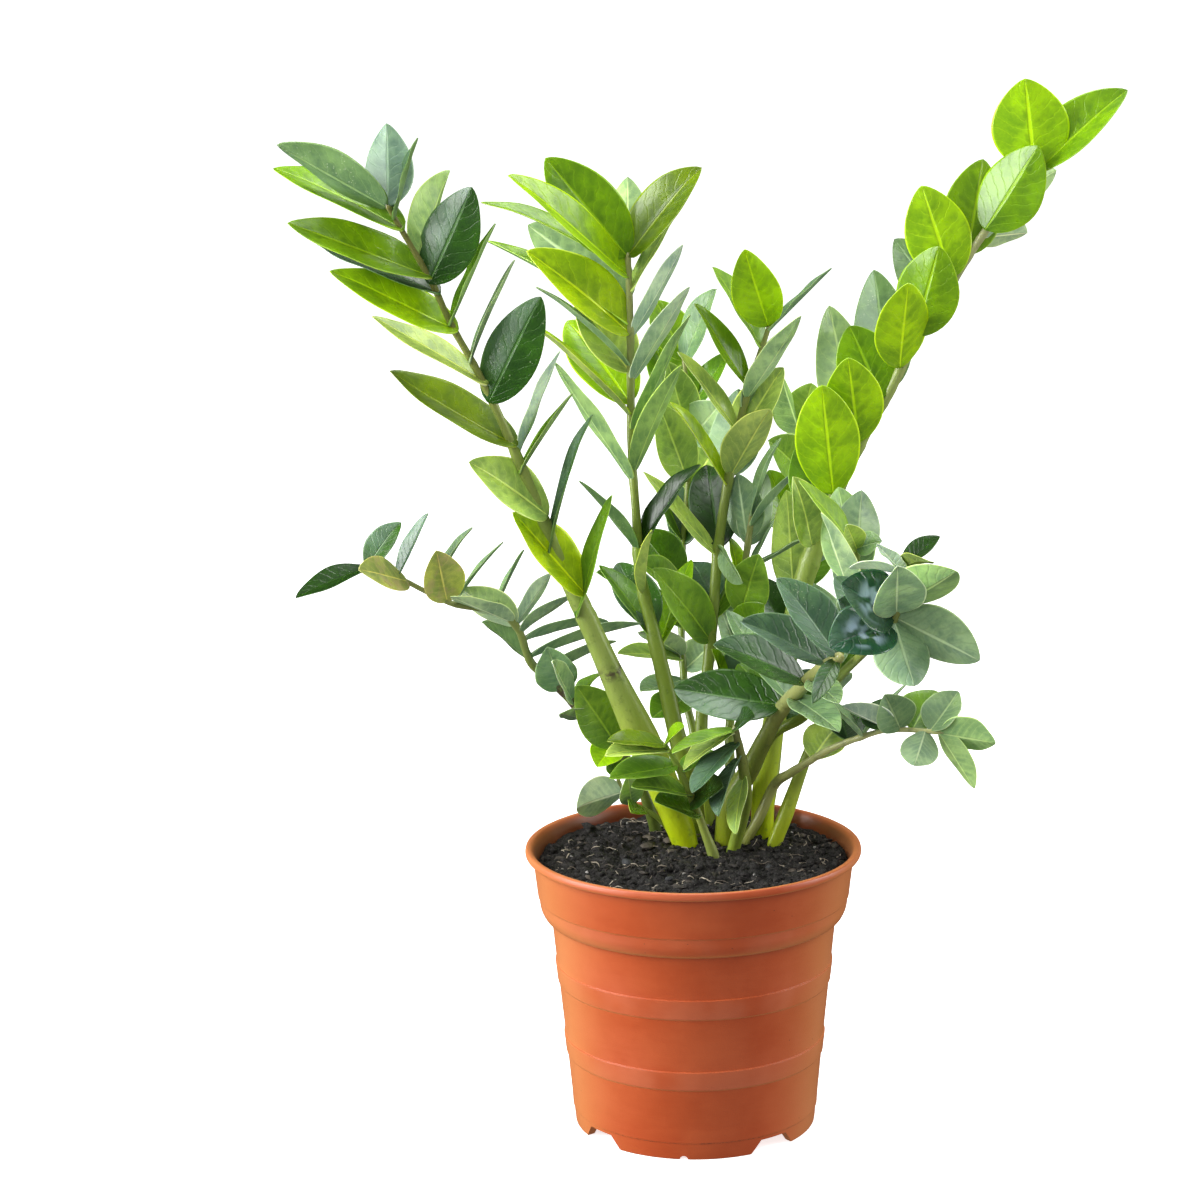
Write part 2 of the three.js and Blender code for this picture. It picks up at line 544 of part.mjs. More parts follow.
// One leaflet: an arched blade, folded up along its midrib, thickest there and sharp at its
// margins. It starts as a short upright edge inside the stalk and ends in a point at its tip.
function leafletSolid(frond, leaflet, seed) {
  const [place, tipX, tipY, tipZ, width, turn] = leaflet;
  const tip = new THREE.Vector3(tipX, tipY, tipZ);
  const root = leafletRoot(frond, place, tip);
  const along = tip.clone().sub(root);
  const length = along.length();
  along.normalize();
  const facing = FRONT.clone().addScaledVector(along, -along.dot(FRONT)).normalize();
  const normal = facing.applyAxisAngle(along, THREE.MathUtils.degToRad(turn));
  const across = new THREE.Vector3().crossVectors(normal, along);
  const arch = THREE.MathUtils.lerp(LEAST_ARCH, MOST_ARCH, wobble(seed)) * length;
  const fold = THREE.MathUtils.lerp(LEAST_FOLD, MOST_FOLD, wobble(seed + 0.5));
  const rows = length > LONG_LEAF ? LONG_LEAF_ROWS : SHORT_LEAF_ROWS;

  const points = [];
  const addPoint = (share, offset, lift) => {
    const point = root.clone().addScaledVector(along, share * length);
    point.addScaledVector(across, offset);
    point.addScaledVector(normal, 4 * arch * share * (1 - share) + lift);
    points.push(point);
  };
  for (const share of rows) {
    const half = halfWidth(width, share);
    addPoint(share, -half, fold * half);
    addPoint(share, 0, -0.5 * LEAF_THICKNESS);
    addPoint(share, half, fold * half);
    addPoint(share, 0, 0.5 * LEAF_THICKNESS);
  }
  addPoint(0, 0, -0.5 * LEAF_THICKNESS);
  addPoint(0, 0, 0.5 * LEAF_THICKNESS);
  addPoint(1, 0, 0);

  // The four corners of a row: left margin, under the midrib, right margin, on the midrib.
  const triangles = [];
  const last = 4 * (rows.length - 1);
  const [rootUnder, rootUpper, end] = [last + 4, last + 5, last + 6];
  for (let row = 0; row < last; row += 4) {
    for (const [margin, rib] of [[0, 1], [2, 3]]) {
      const [here, ribHere, after] = [row + margin, row + rib, row + ((rib + 1) % 4)];
      triangles.push(here, ribHere, here + 4, ribHere, ribHere + 4, here + 4);
      triangles.push(ribHere, after, after + 4, ribHere, after + 4, ribHere + 4);
    }
  }
  triangles.push(rootUnder, 1, 0, rootUnder, 2, 1, rootUpper, 3, 2, rootUpper, 0, 3);
  triangles.push(rootUnder, 0, rootUpper, rootUpper, 2, rootUnder);
  for (let corner = 0; corner < 4; corner += 1) {
    triangles.push(last + corner, last + ((corner + 1) % 4), end);
  }
  return solid(geometryFrom(points, triangles));
}

function frondSolid(frond, frondIndex) {
  const parts = [stalkSolid(frond, 0)];
  frond.leaflets.forEach((leaflet, i) => {
    parts.push(leafletSolid(frond, leaflet, SEEDS_PER_FROND * frondIndex + i));
  });
  return wasm.Manifold.union(parts);
}

// ---------------------------------------------------------------- the plant

const potMaterial = new THREE.MeshStandardMaterial({
  color: 0xb4532f,
  roughness: 0.45,
  metalness: 0,
});
const soilMaterial = new THREE.MeshStandardMaterial({
  color: 0x241f1d,
  roughness: 0.95,
  metalness: 0,
});
const frondMaterial = new THREE.MeshStandardMaterial({
  color: 0x5d8a1c,
  roughness: 0.4,
  metalness: 0,
});

function namedMesh(name, body, material) {
  const mesh = new THREE.Mesh(geometryOf(body), material.clone());
  mesh.name = name;
  return mesh;
}

const plant = new THREE.Group();
plant.add(namedMesh('pot', potSolid(), potMaterial));

const holes = FRONDS.map((frond) => stalkSolid(frond, FIT_GAP));
plant.add(namedMesh('soil', soilSolid().subtract(wasm.Manifold.union(holes)), soilMaterial));

FRONDS.forEach((frond, i) => {
  plant.add(namedMesh(frond.name, frondSolid(frond, i), frondMaterial));
});

export default plant;
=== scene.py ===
"""The looks of a potted ZZ plant: a terracotta-coloured plastic nursery pot, dark potting soil
with bark, grains and fibres, and arching fronds of glossy leaflets. Lengths are in millimetres
until a mesh is made. +Z is up, the origin is on the pot's axis at the surface it stands on, and
the front of the plant looks towards -Y."""

import math
import random

import bpy
from mathutils import Matrix, Vector, noise


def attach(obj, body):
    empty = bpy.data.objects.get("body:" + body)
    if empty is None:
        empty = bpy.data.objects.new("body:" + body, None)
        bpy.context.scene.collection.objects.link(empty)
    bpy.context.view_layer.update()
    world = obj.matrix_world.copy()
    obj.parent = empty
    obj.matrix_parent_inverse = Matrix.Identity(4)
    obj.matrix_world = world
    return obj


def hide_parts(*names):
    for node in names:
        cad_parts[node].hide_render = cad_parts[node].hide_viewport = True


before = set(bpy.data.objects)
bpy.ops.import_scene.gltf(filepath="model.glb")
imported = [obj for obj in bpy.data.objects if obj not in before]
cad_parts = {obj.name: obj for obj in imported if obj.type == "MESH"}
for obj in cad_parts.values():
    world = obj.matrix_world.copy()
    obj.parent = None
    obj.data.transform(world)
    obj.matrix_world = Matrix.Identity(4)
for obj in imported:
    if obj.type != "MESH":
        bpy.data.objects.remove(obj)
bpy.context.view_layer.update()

MM = 0.001
BODY = "root"

# ---- dimensions
# They are those of the solids. The pot's seam, the swell of its shoulder, the nicks in its feet
# and the rise of the soil along its wall are only here.

# pot
POT_HEIGHT = 145.6
FOOT_RADIUS = 61.4
WALL_DRAFT = 0.1
WALL_THICKNESS = 2.0
RIB_HEIGHT = 0.7
RIBS = [(37.5, 47.9), (75.6, 86.5)]
SHOULDER_START = 109.0
SHOULDER_END = 120.5
BAND_RADIUS_LOW = 78.9
BAND_RADIUS_HIGH = 81.4
LIP_RADIUS = 85.3
LIP_BOTTOM = 141.4
RIM_INNER_RADIUS = 82.0
# How far down the rim is worn and painted with a sheen.
SHEEN_AND_WEAR_RIM = 6.0
POT_SIDES = 240
ARC_STEPS = 4
AXIS_RADIUS = 0.5  # surfaces end in so small a ring at the pot's axis

# underside of the pot
PAD_RADIUS = 20.0
BASE_RECESS = 7.2
FOOT_RING_WIDTH = 4.5
FLOOR_TOP = 9.0
NOTCH_HEIGHT = 7.0
NOTCH_ROOF_WIDTH = 16.0
NOTCH_GROUND_WIDTH = 27.0
FIRST_NOTCH_ANGLE = -50.4  # degrees, from +X
NICK_RADIUS = 2.1
DRAIN_RADIUS = 4.0
DRAIN_RING_RADIUS = 41.0
QUARTERS = 4
SEAM_HEIGHT = 8.9
SEAM_STEP = 0.35

# soil
SOIL_LEVEL = 135.0
SOIL_MOUND = 3.0
SOIL_LUMP = 1.3
SOIL_GAP = 0.3
EDGE_RISE = 3.0  # the loose cover lies a little higher along the wall
BIT_LIFT = Vector((0, 0, 0.5))
SOIL_SIDES = 300
SOIL_STEPS = 90
CLODS = 1300
FLAKES = 130
GRAINS = 70
FIBRES = 230

# leaflets, with offsets from the stalk's middle in stalk radii and turns in degrees
ROOT_OFFSET = 0.3
LEAST_ARCH = -0.02
MOST_ARCH = 0.03
LEAST_FOLD = 0.25
MOST_FOLD = 0.55
MOST_TWIST = 0.16
MIDDLE_THICKNESS = 0.55
EDGE_THICKNESS = 0.22
MIDRIB_THICKNESS = 0.5
ROOT_THICKNESS = 1.3
SEEDS_PER_FROND = 31
FRONT = Vector((0, -0.966, 0.259))

# Fronds with leaflets that lie on the front of their stalk, and how far towards the leaflet's
# side those start.
CLASPING = {"frond_left": -0.9, "frond_right": 0.6}
CLASPING_TURN = 90  # leaflets turned further than this start at the stalk's side
ROOT_IN_FRONT = 1.05
TIP_IN_FRONT = 1.8
FRONT_TURN = 28  # leaflets turned less than this have their halves folded a little backwards
BACK_FOLD = -0.5

# stalks
STALK_SIDES = 16
STALK_STEPS = 9  # from one stalk point to the next
NODE_SWELL = 0.10
TIP_SHRINK = 0.4

# ---- where the fronds and leaflets are

STALKS = {}
LEAFLETS = {}


def frond(name, stalk, leaflets):
    """Enters a frond in the tables. A stalk point is x, y, z and radius, foot first. A leaflet is
    its place on the stalk counted in stalk points, its tip x, y, z, its width, the turn of its
    upper face away from the front in degrees, and its tone."""
    STALKS[name] = stalk
    LEAFLETS[name] = leaflets


frond("frond_left", [
    (0, 25, 109, 5.4), (-3, 24, 135, 6.4), (-13, 20, 166, 8.3), (-26, 14, 199, 8.6), (-41, 6, 235, 6.1),
    (-54, -1, 268, 4.9), (-67, -7, 299, 4), (-79, -14, 333, 2.8), (-91, -20, 365, 2.1),
    (-103, -26, 393, 1.8), (-114, -31, 415, 1.6), (-123, -36, 437, 1.5), (-135, -40, 460, 1.3),
    (-143, -43, 475, 1),
], [
    (4.92, -39, -10, 327, 17, -62, "g"), (5.2, -87, -10, 319, 27, 42, "e"),
    (5.99, -49, -13, 368, 15, -72, "d"), (6.5, -107, -24, 347, 29, 40, "w"),
    (7.22, -57, -5, 377, 14, -78, "g"), (7.5, -64, -11, 400, 13, -110, "v"),
    (7.61, -146, -14, 390, 28, 48, "o"), (8.4, -71, -30, 428, 28, -8, "d"),
    (8.68, -154, -14, 417, 21, 56, "w"), (9.15, -83, -23, 445, 13, -78, "s"),
    (9.84, -171, -34, 443, 29, 46, "l"), (10.01, -93, -23, 463, 16, -74, "g"),
    (10.7, -180, -11, 452, 30, 62, "d"), (10.98, -102, -42, 482, 29, -10, "d"),
    (11.05, -190, -42, 466, 30, 48, "y"), (11.54, -116, -12, 488, 24, -118, "l"),
    (12.09, -201, -1, 489, 28, 48, "y"), (12.47, -129, -31, 505, 22, -78, "d"),
    (12.92, -195, -32, 503, 28, 122, "d"), (12.92, -144, -17, 511, 24, 174, "k"),
])
frond("frond_low_left", [
    (-17, 53, 109, 2.7), (-19, 52, 135, 3.2), (-27, 50, 163, 3), (-42, 46, 189, 2.8), (-56, 42, 204, 2.6),
    (-69, 38, 219, 2.3), (-82, 32, 233, 2.1), (-88, 26, 252, 1.8), (-98, 18, 263, 1.6), (-118, 8, 269, 1.4),
    (-132, 2, 277, 1.3), (-145, -3, 285, 1.2), (-162, -8, 292, 1),
], [
    (2.88, -59, 27, 222, 26, 20, "p"), (2.88, -49, 28, 179, 18, 20, "l"),
    (3.81, -67, 19, 210, 13, 125, "s"), (4.38, -47, 51, 223, 12, -60, "g"),
    (4.45, -70, 2, 241, 15, 60, "v"), (4.89, -73, 23, 243, 22, 0, "s"), (5.47, -39, 41, 243, 14, -105, "s"),
    (5.98, -107, 42, 253, 25, 110, "n"), (6.16, -26, 45, 251, 14, -110, "s"),
    (6.65, -43, 44, 253, 13, -110, "s"), (6.9, -57, 9, 274, 13, -110, "s"),
    (7.18, -116, 17, 276, 26, 130, "w"), (7.2, -72, 41, 278, 14, -120, "v"),
    (7.41, -119, -9, 277, 22, 110, "w"), (8.05, -85, 42, 290, 12, -80, "s"),
    (9.05, -95, 28, 297, 12, -80, "s"), (9.3, -126, -8, 300, 22, 18, "b"),
    (9.85, -110, 9, 309, 12, -70, "s"), (10.78, -161, -42, 298, 20, 42, "b"),
    (11.08, -131, 3, 317, 14, -60, "k"), (11.92, -196, -14, 278, 20, 56, "n"),
    (11.92, -144, -4, 314, 16, -30, "d"),
])
frond("frond_centre", [
    (3, 45, 109, 4.4), (2, 44, 135, 5.2), (-1, 42, 163, 5.2), (-8, 43, 192, 4.6), (-14, 46, 220, 4.2),
    (-20, 49, 246, 3.4), (-26, 54, 274, 3), (-28, 58, 307, 2.2), (-30, 62, 338, 2), (-30, 66, 371, 1.9),
    (-30, 69, 404, 1.7), (-31, 72, 439, 1.3),
], [
    (4.61, 0, 98, 273, 20, -46, "y"), (4.81, -48, 78, 274, 25, 60, "g"), (5, -38, 93, 272, 24, 20, "d"),
    (5.68, -20, 32, 302, 14, -110, "e"), (6.39, -56, 34, 327, 15, 110, "d"),
    (6.42, 4, 48, 333, 22, -60, "n"), (7.49, -68, 37, 387, 15, 120, "p"),
    (7.63, -4, 33, 386, 17, -126, "l"), (8.3, -1, 43, 411, 15, -112, "p"),
    (8.53, -80, 32, 410, 15, 82, "e"), (8.71, -63, 95, 401, 34, 24, "l"), (9.07, 0, 54, 423, 17, -120, "v"),
    (9.19, -58, 82, 415, 30, 30, "w"), (9.28, -76, 47, 425, 14, 84, "s"),
    (9.76, -3, 82, 441, 15, -118, "v"), (9.79, -82, 56, 441, 33, 36, "e"),
    (9.92, -104, 91, 443, 22, 64, "l"), (10.29, -83, 116, 448, 38, 165, "g"),
    (10.4, 1, 76, 468, 20, -66, "w"), (10.63, -87, 26, 483, 26, 50, "l"),
    (10.72, -106, 97, 464, 22, 64, "y"), (10.92, -72, 66, 487, 34, 14, "y"),
    (10.92, 6, 66, 482, 30, -38, "o"), (10.92, -31, 102, 474, 24, 180, "p"),
])
frond("frond_mid_right", [
    (9, 60, 109, 3.9), (8, 61, 135, 4.6), (6, 65, 162, 4.2), (5, 70, 192, 3.4), (9, 74, 224, 3),
    (12, 79, 255, 2.8), (15, 84, 286, 2.7), (20, 88, 317, 2.3), (26, 93, 345, 2.1), (32, 96, 368, 1.8),
    (38, 98, 385, 1.5), (42, 99, 397, 1.1),
], [
    (4.33, -20, 50, 278, 25, 30, "p"), (4.67, 27, 109, 270, 18, -24, "g"), (5, 0, 109, 270, 22, 20, "k"),
    (5.75, -23, 73, 325, 16, 58, "w"), (5.87, 9, 127, 319, 27, 10, "n"), (5.87, 26, 45, 271, 14, 60, "s"),
    (6.9, -9, 74, 361, 17, 66, "e"), (7.08, 41, 74, 357, 24, -142, "e"), (7.08, 26, 114, 361, 28, 170, "s"),
    (7.72, 49, 104, 374, 24, -30, "w"), (7.88, -6, 85, 385, 18, 58, "w"),
    (8.25, 58, 122, 396, 26, -110, "s"), (8.59, 57, 64, 406, 18, -124, "w"),
    (8.85, 4, 88, 410, 20, 54, "y"), (9.97, 13, 112, 426, 23, 56, "p"), (10.7, 74, 100, 426, 13, -78, "s"),
    (10.92, 29, 91, 437, 26, -12, "l"),
])
frond("frond_right", [
    (36, 40, 109, 4.9), (36, 40, 135, 5.8), (37, 40, 163, 6), (43, 40, 203, 5.8), (49, 41, 234, 5.6),
    (55, 42, 263, 5.4), (61, 43, 283, 5.2), (69, 44, 304, 4), (79, 46, 327, 3), (90, 48, 349, 2.7),
    (102, 50, 370, 2.6), (114, 52, 394, 2.5), (128, 54, 415, 2.3), (139, 55, 433, 2.1), (149, 56, 448, 1.9),
    (162, 57, 464, 1.6), (176, 58, 480, 1.2),
], [
    (5.98, 94, 73, 298, 24, -120, "s"), (6.35, 52, 29, 328, 22, 30, "w"), (6.92, 57, 64, 341, 24, 20, "g"),
    (7.53, 66, 29, 375, 33, -2, "l"), (8.66, 72, 81, 409, 30, 168, "g"), (8.71, 79, 27, 388, 30, -6, "l"),
    (9.72, 81, 56, 401, 31, -4, "y"), (10, 95, 80, 427, 30, 172, "d"), (10.42, 109, 33, 425, 30, 26, "l"),
    (11.08, 125, 44, 442, 33, -16, "y"), (11.93, 106, 84, 442, 26, 160, "n"),
    (12.49, 117, 57, 471, 33, -8, "l"), (13.22, 149, 71, 483, 31, 12, "y"),
    (13.84, 173, 82, 445, 22, -120, "w"), (14.05, 174, 50, 491, 34, -20, "y"),
    (15.08, 187, 87, 476, 20, -150, "p"), (15.88, 168, 56, 524, 39, -8, "l"),
    (15.92, 219, 60, 518, 31, -38, "y"),
])
frond("frond_front_right", [
    (15, 30, 109, 4.4), (16, 28, 135, 5.2), (19, 21, 160, 5.7), (29, 13, 181, 5.2), (37, 5, 200, 4.2),
    (45, -4, 217, 3.8), (54, -22, 232, 3.5), (63, -44, 247, 3.2), (72, -67, 259, 2.4),
], [
    (4.96, 24, 25, 234, 22, 30, "g"), (5.09, -9, 7, 225, 31, 32, "d"), (5.38, 18, 26, 261, 20, 40, "s"),
    (5.58, 71, -61, 220, 20, -40, "s"), (6.29, 11, -44, 260, 27, 46, "d"),
    (6.53, 70, -78, 239, 16, -30, "s"), (7.33, 24, -60, 275, 27, 48, "k"),
    (7.78, 57, -92, 242, 10, 10, "d"), (7.82, 42, -49, 294, 28, 40, "k"),
])
frond("frond_front_rosette", [
    (18, 51, 109, 3.1), (19, 48, 135, 3.6), (22, 38, 158, 3.4), (30, 27, 176, 3.1), (41, 18, 198, 2.9),
    (56, 3, 211, 2.6), (67, -25, 232, 2.4), (76, -53, 250, 2.2), (85, -78, 266, 2), (94, -98, 282, 1.8),
    (98, -104, 298, 1.5), (99, -104, 312, 1),
], [
    (8.18, 94, -106, 262, 22, -110, "g"), (8.43, 68, -106, 295, 24, 30, "k"),
    (8.62, 68, -78, 300, 27, 40, "k"), (8.98, 64, -128, 278, 29, 24, "q"),
    (9.1, 103, -121, 257, 27, 170, "s"), (9.17, 69, -118, 305, 30, 26, "q"),
    (9.21, 134, -112, 267, 27, -148, "s"), (9.37, 94, -138, 317, 26, 10, "v"),
    (9.62, 121, -129, 313, 27, -140, "p"), (10.61, 74, -98, 309, 14, 100, "v"),
    (10.68, 86, -114, 323, 13, 110, "v"), (10.89, 116, -98, 323, 14, -50, "n"),
    (10.89, 109, -130, 318, 14, -110, "o"),
])
frond("frond_low_right", [
    (23, 28, 109, 2.4), (26, 26, 135, 2.8), (34, 22, 153, 2.8), (42, 20, 171, 2.6), (49, 8, 180, 2.3),
    (57, -2, 188, 1.9), (69, -8, 197, 1.7), (83, -13, 204, 1.5), (99, -20, 210, 1.3), (124, -30, 211, 1),
], [
    (5.29, 74, 16, 203, 22, -20, "w"), (6.64, 74, 17, 213, 24, 20, "n"), (7.11, 67, -20, 225, 16, 80, "s"),
    (7.11, 108, 11, 226, 10, -80, "s"), (8.01, 74, -30, 225, 20, 118, "v"), (8.1, 89, -3, 219, 24, 20, "d"),
    (8.19, 95, -28, 230, 22, 10, "s"), (8.42, 122, -1, 225, 24, -20, "g"),
    (8.66, 108, -53, 200, 19, -170, "s"), (8.75, 132, -19, 229, 22, -40, "s"),
    (8.92, 149, -38, 208, 22, -136, "p"), (8.92, 139, -36, 184, 15, -132, "p"),
])
frond("frond_back_right", [
    (38, 23, 109, 3.2), (41, 23, 135, 3.8), (48, 24, 155, 4), (55, 27, 174, 3.1), (62, 28, 193, 2.5),
    (69, 26, 214, 2.2), (75, 22, 238, 2), (80, 17, 263, 1.9), (83, 12, 284, 1.7), (83, 9, 297, 1.1),
], [
    (4.7, 48, 10, 212, 20, 60, "k"), (4.86, 79, 10, 232, 20, -130, "s"), (5.42, 91, 45, 241, 22, -60, "g"),
    (5.74, 59, 53, 270, 28, 160, "s"), (6.71, 71, 33, 293, 24, 110, "s"),
    (6.71, 95, -3, 284, 24, -140, "s"), (7.31, 65, -17, 320, 22, 110, "w"),
    (7.67, 75, 31, 323, 28, 170, "p"), (8.57, 86, 27, 322, 24, -170, "s"), (8.75, 54, 17, 329, 22, 64, "p"),
    (8.92, 77, -5, 311, 13, 10, "w"), (8.92, 95, 3, 301, 14, -30, "s"),
])
frond("frond_front_small", [
    (13, 4, 109, 2.6), (11, 3, 135, 3.1), (6, 0, 152, 2.2), (0, -4, 170, 1.9), (-7, -9, 188, 1.7),
    (-14, -13, 202, 1),
], [
    (2.58, -19, -24, 175, 20, 60, "g"), (3, 15, -34, 185, 20, -50, "n"), (3.15, -30, -27, 184, 20, 62, "p"),
    (3.88, 12, -3, 195, 18, -60, "g"), (4.1, -41, -29, 189, 20, 52, "g"),
    (4.69, -43, -30, 201, 18, 58, "w"), (4.92, -42, -27, 207, 17, 62, "o"),
    (4.92, -4, -33, 216, 12, -70, "y"),
])
frond("frond_left_sprig", [
    (-5, 47, 109, 1.5), (-10, 44, 135, 1.8), (-17, 40, 147, 1.5), (-26, 40, 153, 1.3), (-33, 38, 158, 1.2),
    (-39, 36, 171, 0.9),
], [
    (3.31, -31, 9, 160, 12, 10, "y"), (3.83, -33, 22, 175, 14, 20, "v"), (4.44, -60, 15, 161, 22, 150, "v"),
    (4.92, -42, 42, 180, 12, 30, "g"),
])
frond("frond_inner", [
    (18, 16, 109, 2.9), (20, 14, 135, 3.4), (27, 6, 166, 3), (25, -6, 190, 2.6), (21, -13, 211, 1.4),
], [
    (2.64, 21, -24, 158, 18, 60, "w"), (3.16, 12, -33, 170, 20, 70, "k"), (3.54, 0, -38, 183, 20, 60, "k"),
    (3.82, -5, -18, 190, 19, 66, "w"), (3.88, -10, -32, 202, 18, 70, "p"),
    (3.92, 30, -42, 223, 15, -60, "n"),
])
frond("frond_mid_short", [
    (23, 60, 109, 2.5), (22, 61, 135, 3), (20, 66, 161, 2.8), (20, 71, 192, 2.4), (24, 73, 224, 2.1),
    (26, 76, 250, 1.9), (28, 79, 271, 1.8), (31, 82, 292, 1.6), (32, 84, 301, 1.1),
], [
    (3.33, 11, 60, 233, 18, 60, "y"), (3.49, 33, 52, 240, 22, -30, "d"), (4.18, 14, 89, 252, 18, 140, "s"),
    (4.38, 38, 58, 257, 22, -30, "g"), (4.96, 35, 54, 284, 24, -10, "p"), (5.44, 21, 93, 286, 18, 60, "l"),
    (5.73, 45, 96, 297, 12, -80, "s"), (5.96, 62, 59, 294, 14, -84, "s"),
    (6.58, 40, 99, 318, 20, -160, "s"), (6.69, 25, 89, 320, 22, 160, "s"),
    (7.13, 57, 68, 327, 16, -100, "s"), (7.71, 46, 77, 341, 15, -78, "s"),
])
frond("frond_back_left", [
    (-12, 63, 109, 2.5), (-10, 66, 135, 3), (-5, 74, 154, 2.8), (1, 84, 176, 2.4), (-3, 96, 197, 2),
    (-5, 108, 221, 1.8), (-5, 118, 247, 1.6), (-4, 128, 277, 1.5), (-1, 136, 309, 1.4), (0, 142, 340, 1.3),
    (-3, 146, 375, 1),
], [
    (4, -21, 76, 193, 22, 40, "g"), (4.41, -27, 77, 207, 20, 60, "s"), (4.61, 13, 114, 225, 22, -30, "v"),
    (4.82, -39, 80, 226, 18, 62, "w"), (4.91, -27, 77, 239, 20, 120, "v"), (5.5, -49, 83, 270, 24, 56, "g"),
    (5.61, 14, 128, 255, 26, -30, "d"), (5.98, -27, 88, 275, 22, 50, "p"),
    (6.34, -27, 105, 287, 26, 30, "g"), (6.93, 5, 141, 309, 24, -30, "d"), (7, -19, 140, 308, 24, 60, "g"),
    (7.8, 17, 150, 329, 26, -20, "w"), (7.98, -16, 116, 353, 24, 20, "w"),
    (8.68, 16, 120, 352, 26, -10, "v"), (8.68, -11, 118, 375, 22, 20, "w"),
    (9.16, 21, 145, 376, 22, -50, "g"), (9.25, -21, 153, 382, 28, 20, "y"),
    (9.92, 14, 131, 412, 24, -50, "s"), (9.92, -18, 160, 403, 24, 20, "y"),
])
frond("frond_back_far", [
    (36, 51, 109, 2.9), (37, 54, 135, 3.4), (42, 64, 161, 3.2), (46, 78, 190, 2.9), (50, 88, 220, 2.6),
    (54, 98, 250, 2.4), (56, 108, 281, 2.1), (58, 116, 312, 1.8), (58, 122, 338, 1.1),
], [
    (3, 64, 92, 214, 24, -30, "d"), (3.51, 30, 97, 229, 24, 30, "d"), (4.18, 71, 104, 249, 26, -30, "d"),
    (4.33, 35, 103, 263, 26, 30, "d"), (5.09, 50, 79, 313, 24, 20, "w"), (5.18, 74, 116, 279, 26, -30, "g"),
    (5.91, 76, 132, 303, 26, -20, "g"), (6, 42, 118, 317, 26, 20, "y"), (6.98, 75, 132, 336, 26, -20, "g"),
    (7.18, 41, 93, 337, 24, 20, "p"), (7.92, 48, 116, 367, 22, -130, "l"),
    (7.92, 65, 134, 361, 22, -10, "p"),
])

# ---- colours and the camera

# Dark grey chips on the soil: x, y and size.
GREY_CHIPS = [(-33, -12, 3.6), (-12, -40, 2.4), (38, -22, 2.2)]

# Stretches of stalk with a brown, corky skin, in stalk points.
BROWN_STALKS = {"frond_low_left": (4.2, 5.1), "frond_left": (3.95, 4.08)}

# Linear colours of a leaflet's upper face and underside.
TONES = {
    "l": ((0.36, 0.62, 0.004), (0.37, 0.60, 0.14)),  # lime
    "y": ((0.18, 0.355, 0.003), (0.32, 0.46, 0.10)),  # yellow-green
    "g": ((0.13, 0.28, 0.012), (0.25, 0.40, 0.12)),  # mid green
    "d": ((0.033, 0.105, 0.009), (0.15, 0.27, 0.08)),  # dark green
    "n": ((0.014, 0.050, 0.004), (0.10, 0.19, 0.05)),  # painted deep shade: darkest green
    "k": ((0.085, 0.17, 0.075), (0.17, 0.29, 0.16)),  # blue-green
    "p": ((0.26, 0.45, 0.04), (0.36, 0.56, 0.18)),  # pale green
    "s": ((0.24, 0.38, 0.15), (0.27, 0.41, 0.19)),  # silvery green: partly the underside's paler colour, partly a painted reflection
    "w": ((0.50, 0.68, 0.12), (0.56, 0.74, 0.36)),  # palest green
    "o": ((0.145, 0.230, 0.002), (0.32, 0.40, 0.09)),  # olive
    "e": ((0.45, 0.65, 0.006), (0.50, 0.62, 0.14)),  # yellow
    "v": ((0.52, 0.72, 0.34), (0.58, 0.72, 0.48)),  # palest silver
    "q": ((0.020, 0.085, 0.035), (0.10, 0.19, 0.08)),  # dark and shiny
    "b": ((0.60, 0.61, 0.13), (0.56, 0.58, 0.24)),  # ageing, with brown
}

# By tone: how strong the painted sheen on one half of a leaflet is, and its mineral specks.
PAINTED_SHEEN = {"d": 0.60, "k": 0.75, "s": 0.30, "q": 0.45}
SPECKS = {"d": 0.75, "k": 0.6, "s": 0.25}
FEWEST_SPECKS = 0.05

# By frond: how puckered its leaflets are along their side veins.
PUCKERED = {"frond_front_right": 1.0, "frond_front_rosette": 0.55, "frond_inner": 0.6}
LEAST_PUCKERED = 0.12

# Linear stalk colours at the soil, half way up, and at the tip.
DEFAULT_STALK = ((0.24, 0.32, 0.03), (0.18, 0.25, 0.035), (0.24, 0.26, 0.08))
STALK_COLOURS = {
    "frond_left": ((0.50, 0.62, 0.004), (0.27, 0.35, 0.075), (0.17, 0.17, 0.045)),
    "frond_right": ((0.46, 0.58, 0.006), (0.28, 0.37, 0.07), (0.33, 0.34, 0.16)),
    "frond_front_right": ((0.36, 0.44, 0.02), (0.15, 0.19, 0.03), (0.38, 0.38, 0.14)),
    "frond_back_right": ((0.45, 0.55, 0.02), (0.22, 0.29, 0.04), (0.15, 0.20, 0.04)),
    "frond_centre": ((0.17, 0.22, 0.015), (0.20, 0.28, 0.035), (0.31, 0.33, 0.12)),
    "frond_low_left": ((0.10, 0.14, 0.02), (0.14, 0.19, 0.04), (0.26, 0.29, 0.09)),
    "frond_low_right": ((0.30, 0.33, 0.07), (0.34, 0.36, 0.12), (0.40, 0.42, 0.17)),
    "frond_front_small": ((0.22, 0.27, 0.06), (0.28, 0.34, 0.07), (0.24, 0.34, 0.05)),
}

# Camera angles in degrees, its place in metres, and its focal length in the photograph's pixels.
CAMERA_YAW = -1.63
CAMERA_PITCH = 12.30
CAMERA_ROLL = -0.80
CAMERA_PLACE = (0, -1.597, 0.621)
CAMERA_FOCAL = 3275
PHOTO_WIDTH = 1200
SENSOR_WIDTH = 36
FLOOR_REACH = 80000.0
WORLD_STRENGTH = 0.55


# ---- helpers


def wobble(seed):
    """A repeatable number between 0 and 1, the same one that shapes the solids."""
    value = math.sin(seed * 12.9898 + 4.1) * 43758.5453
    return value - math.floor(value)


def blend(a, b, share):
    return a + (b - a) * share


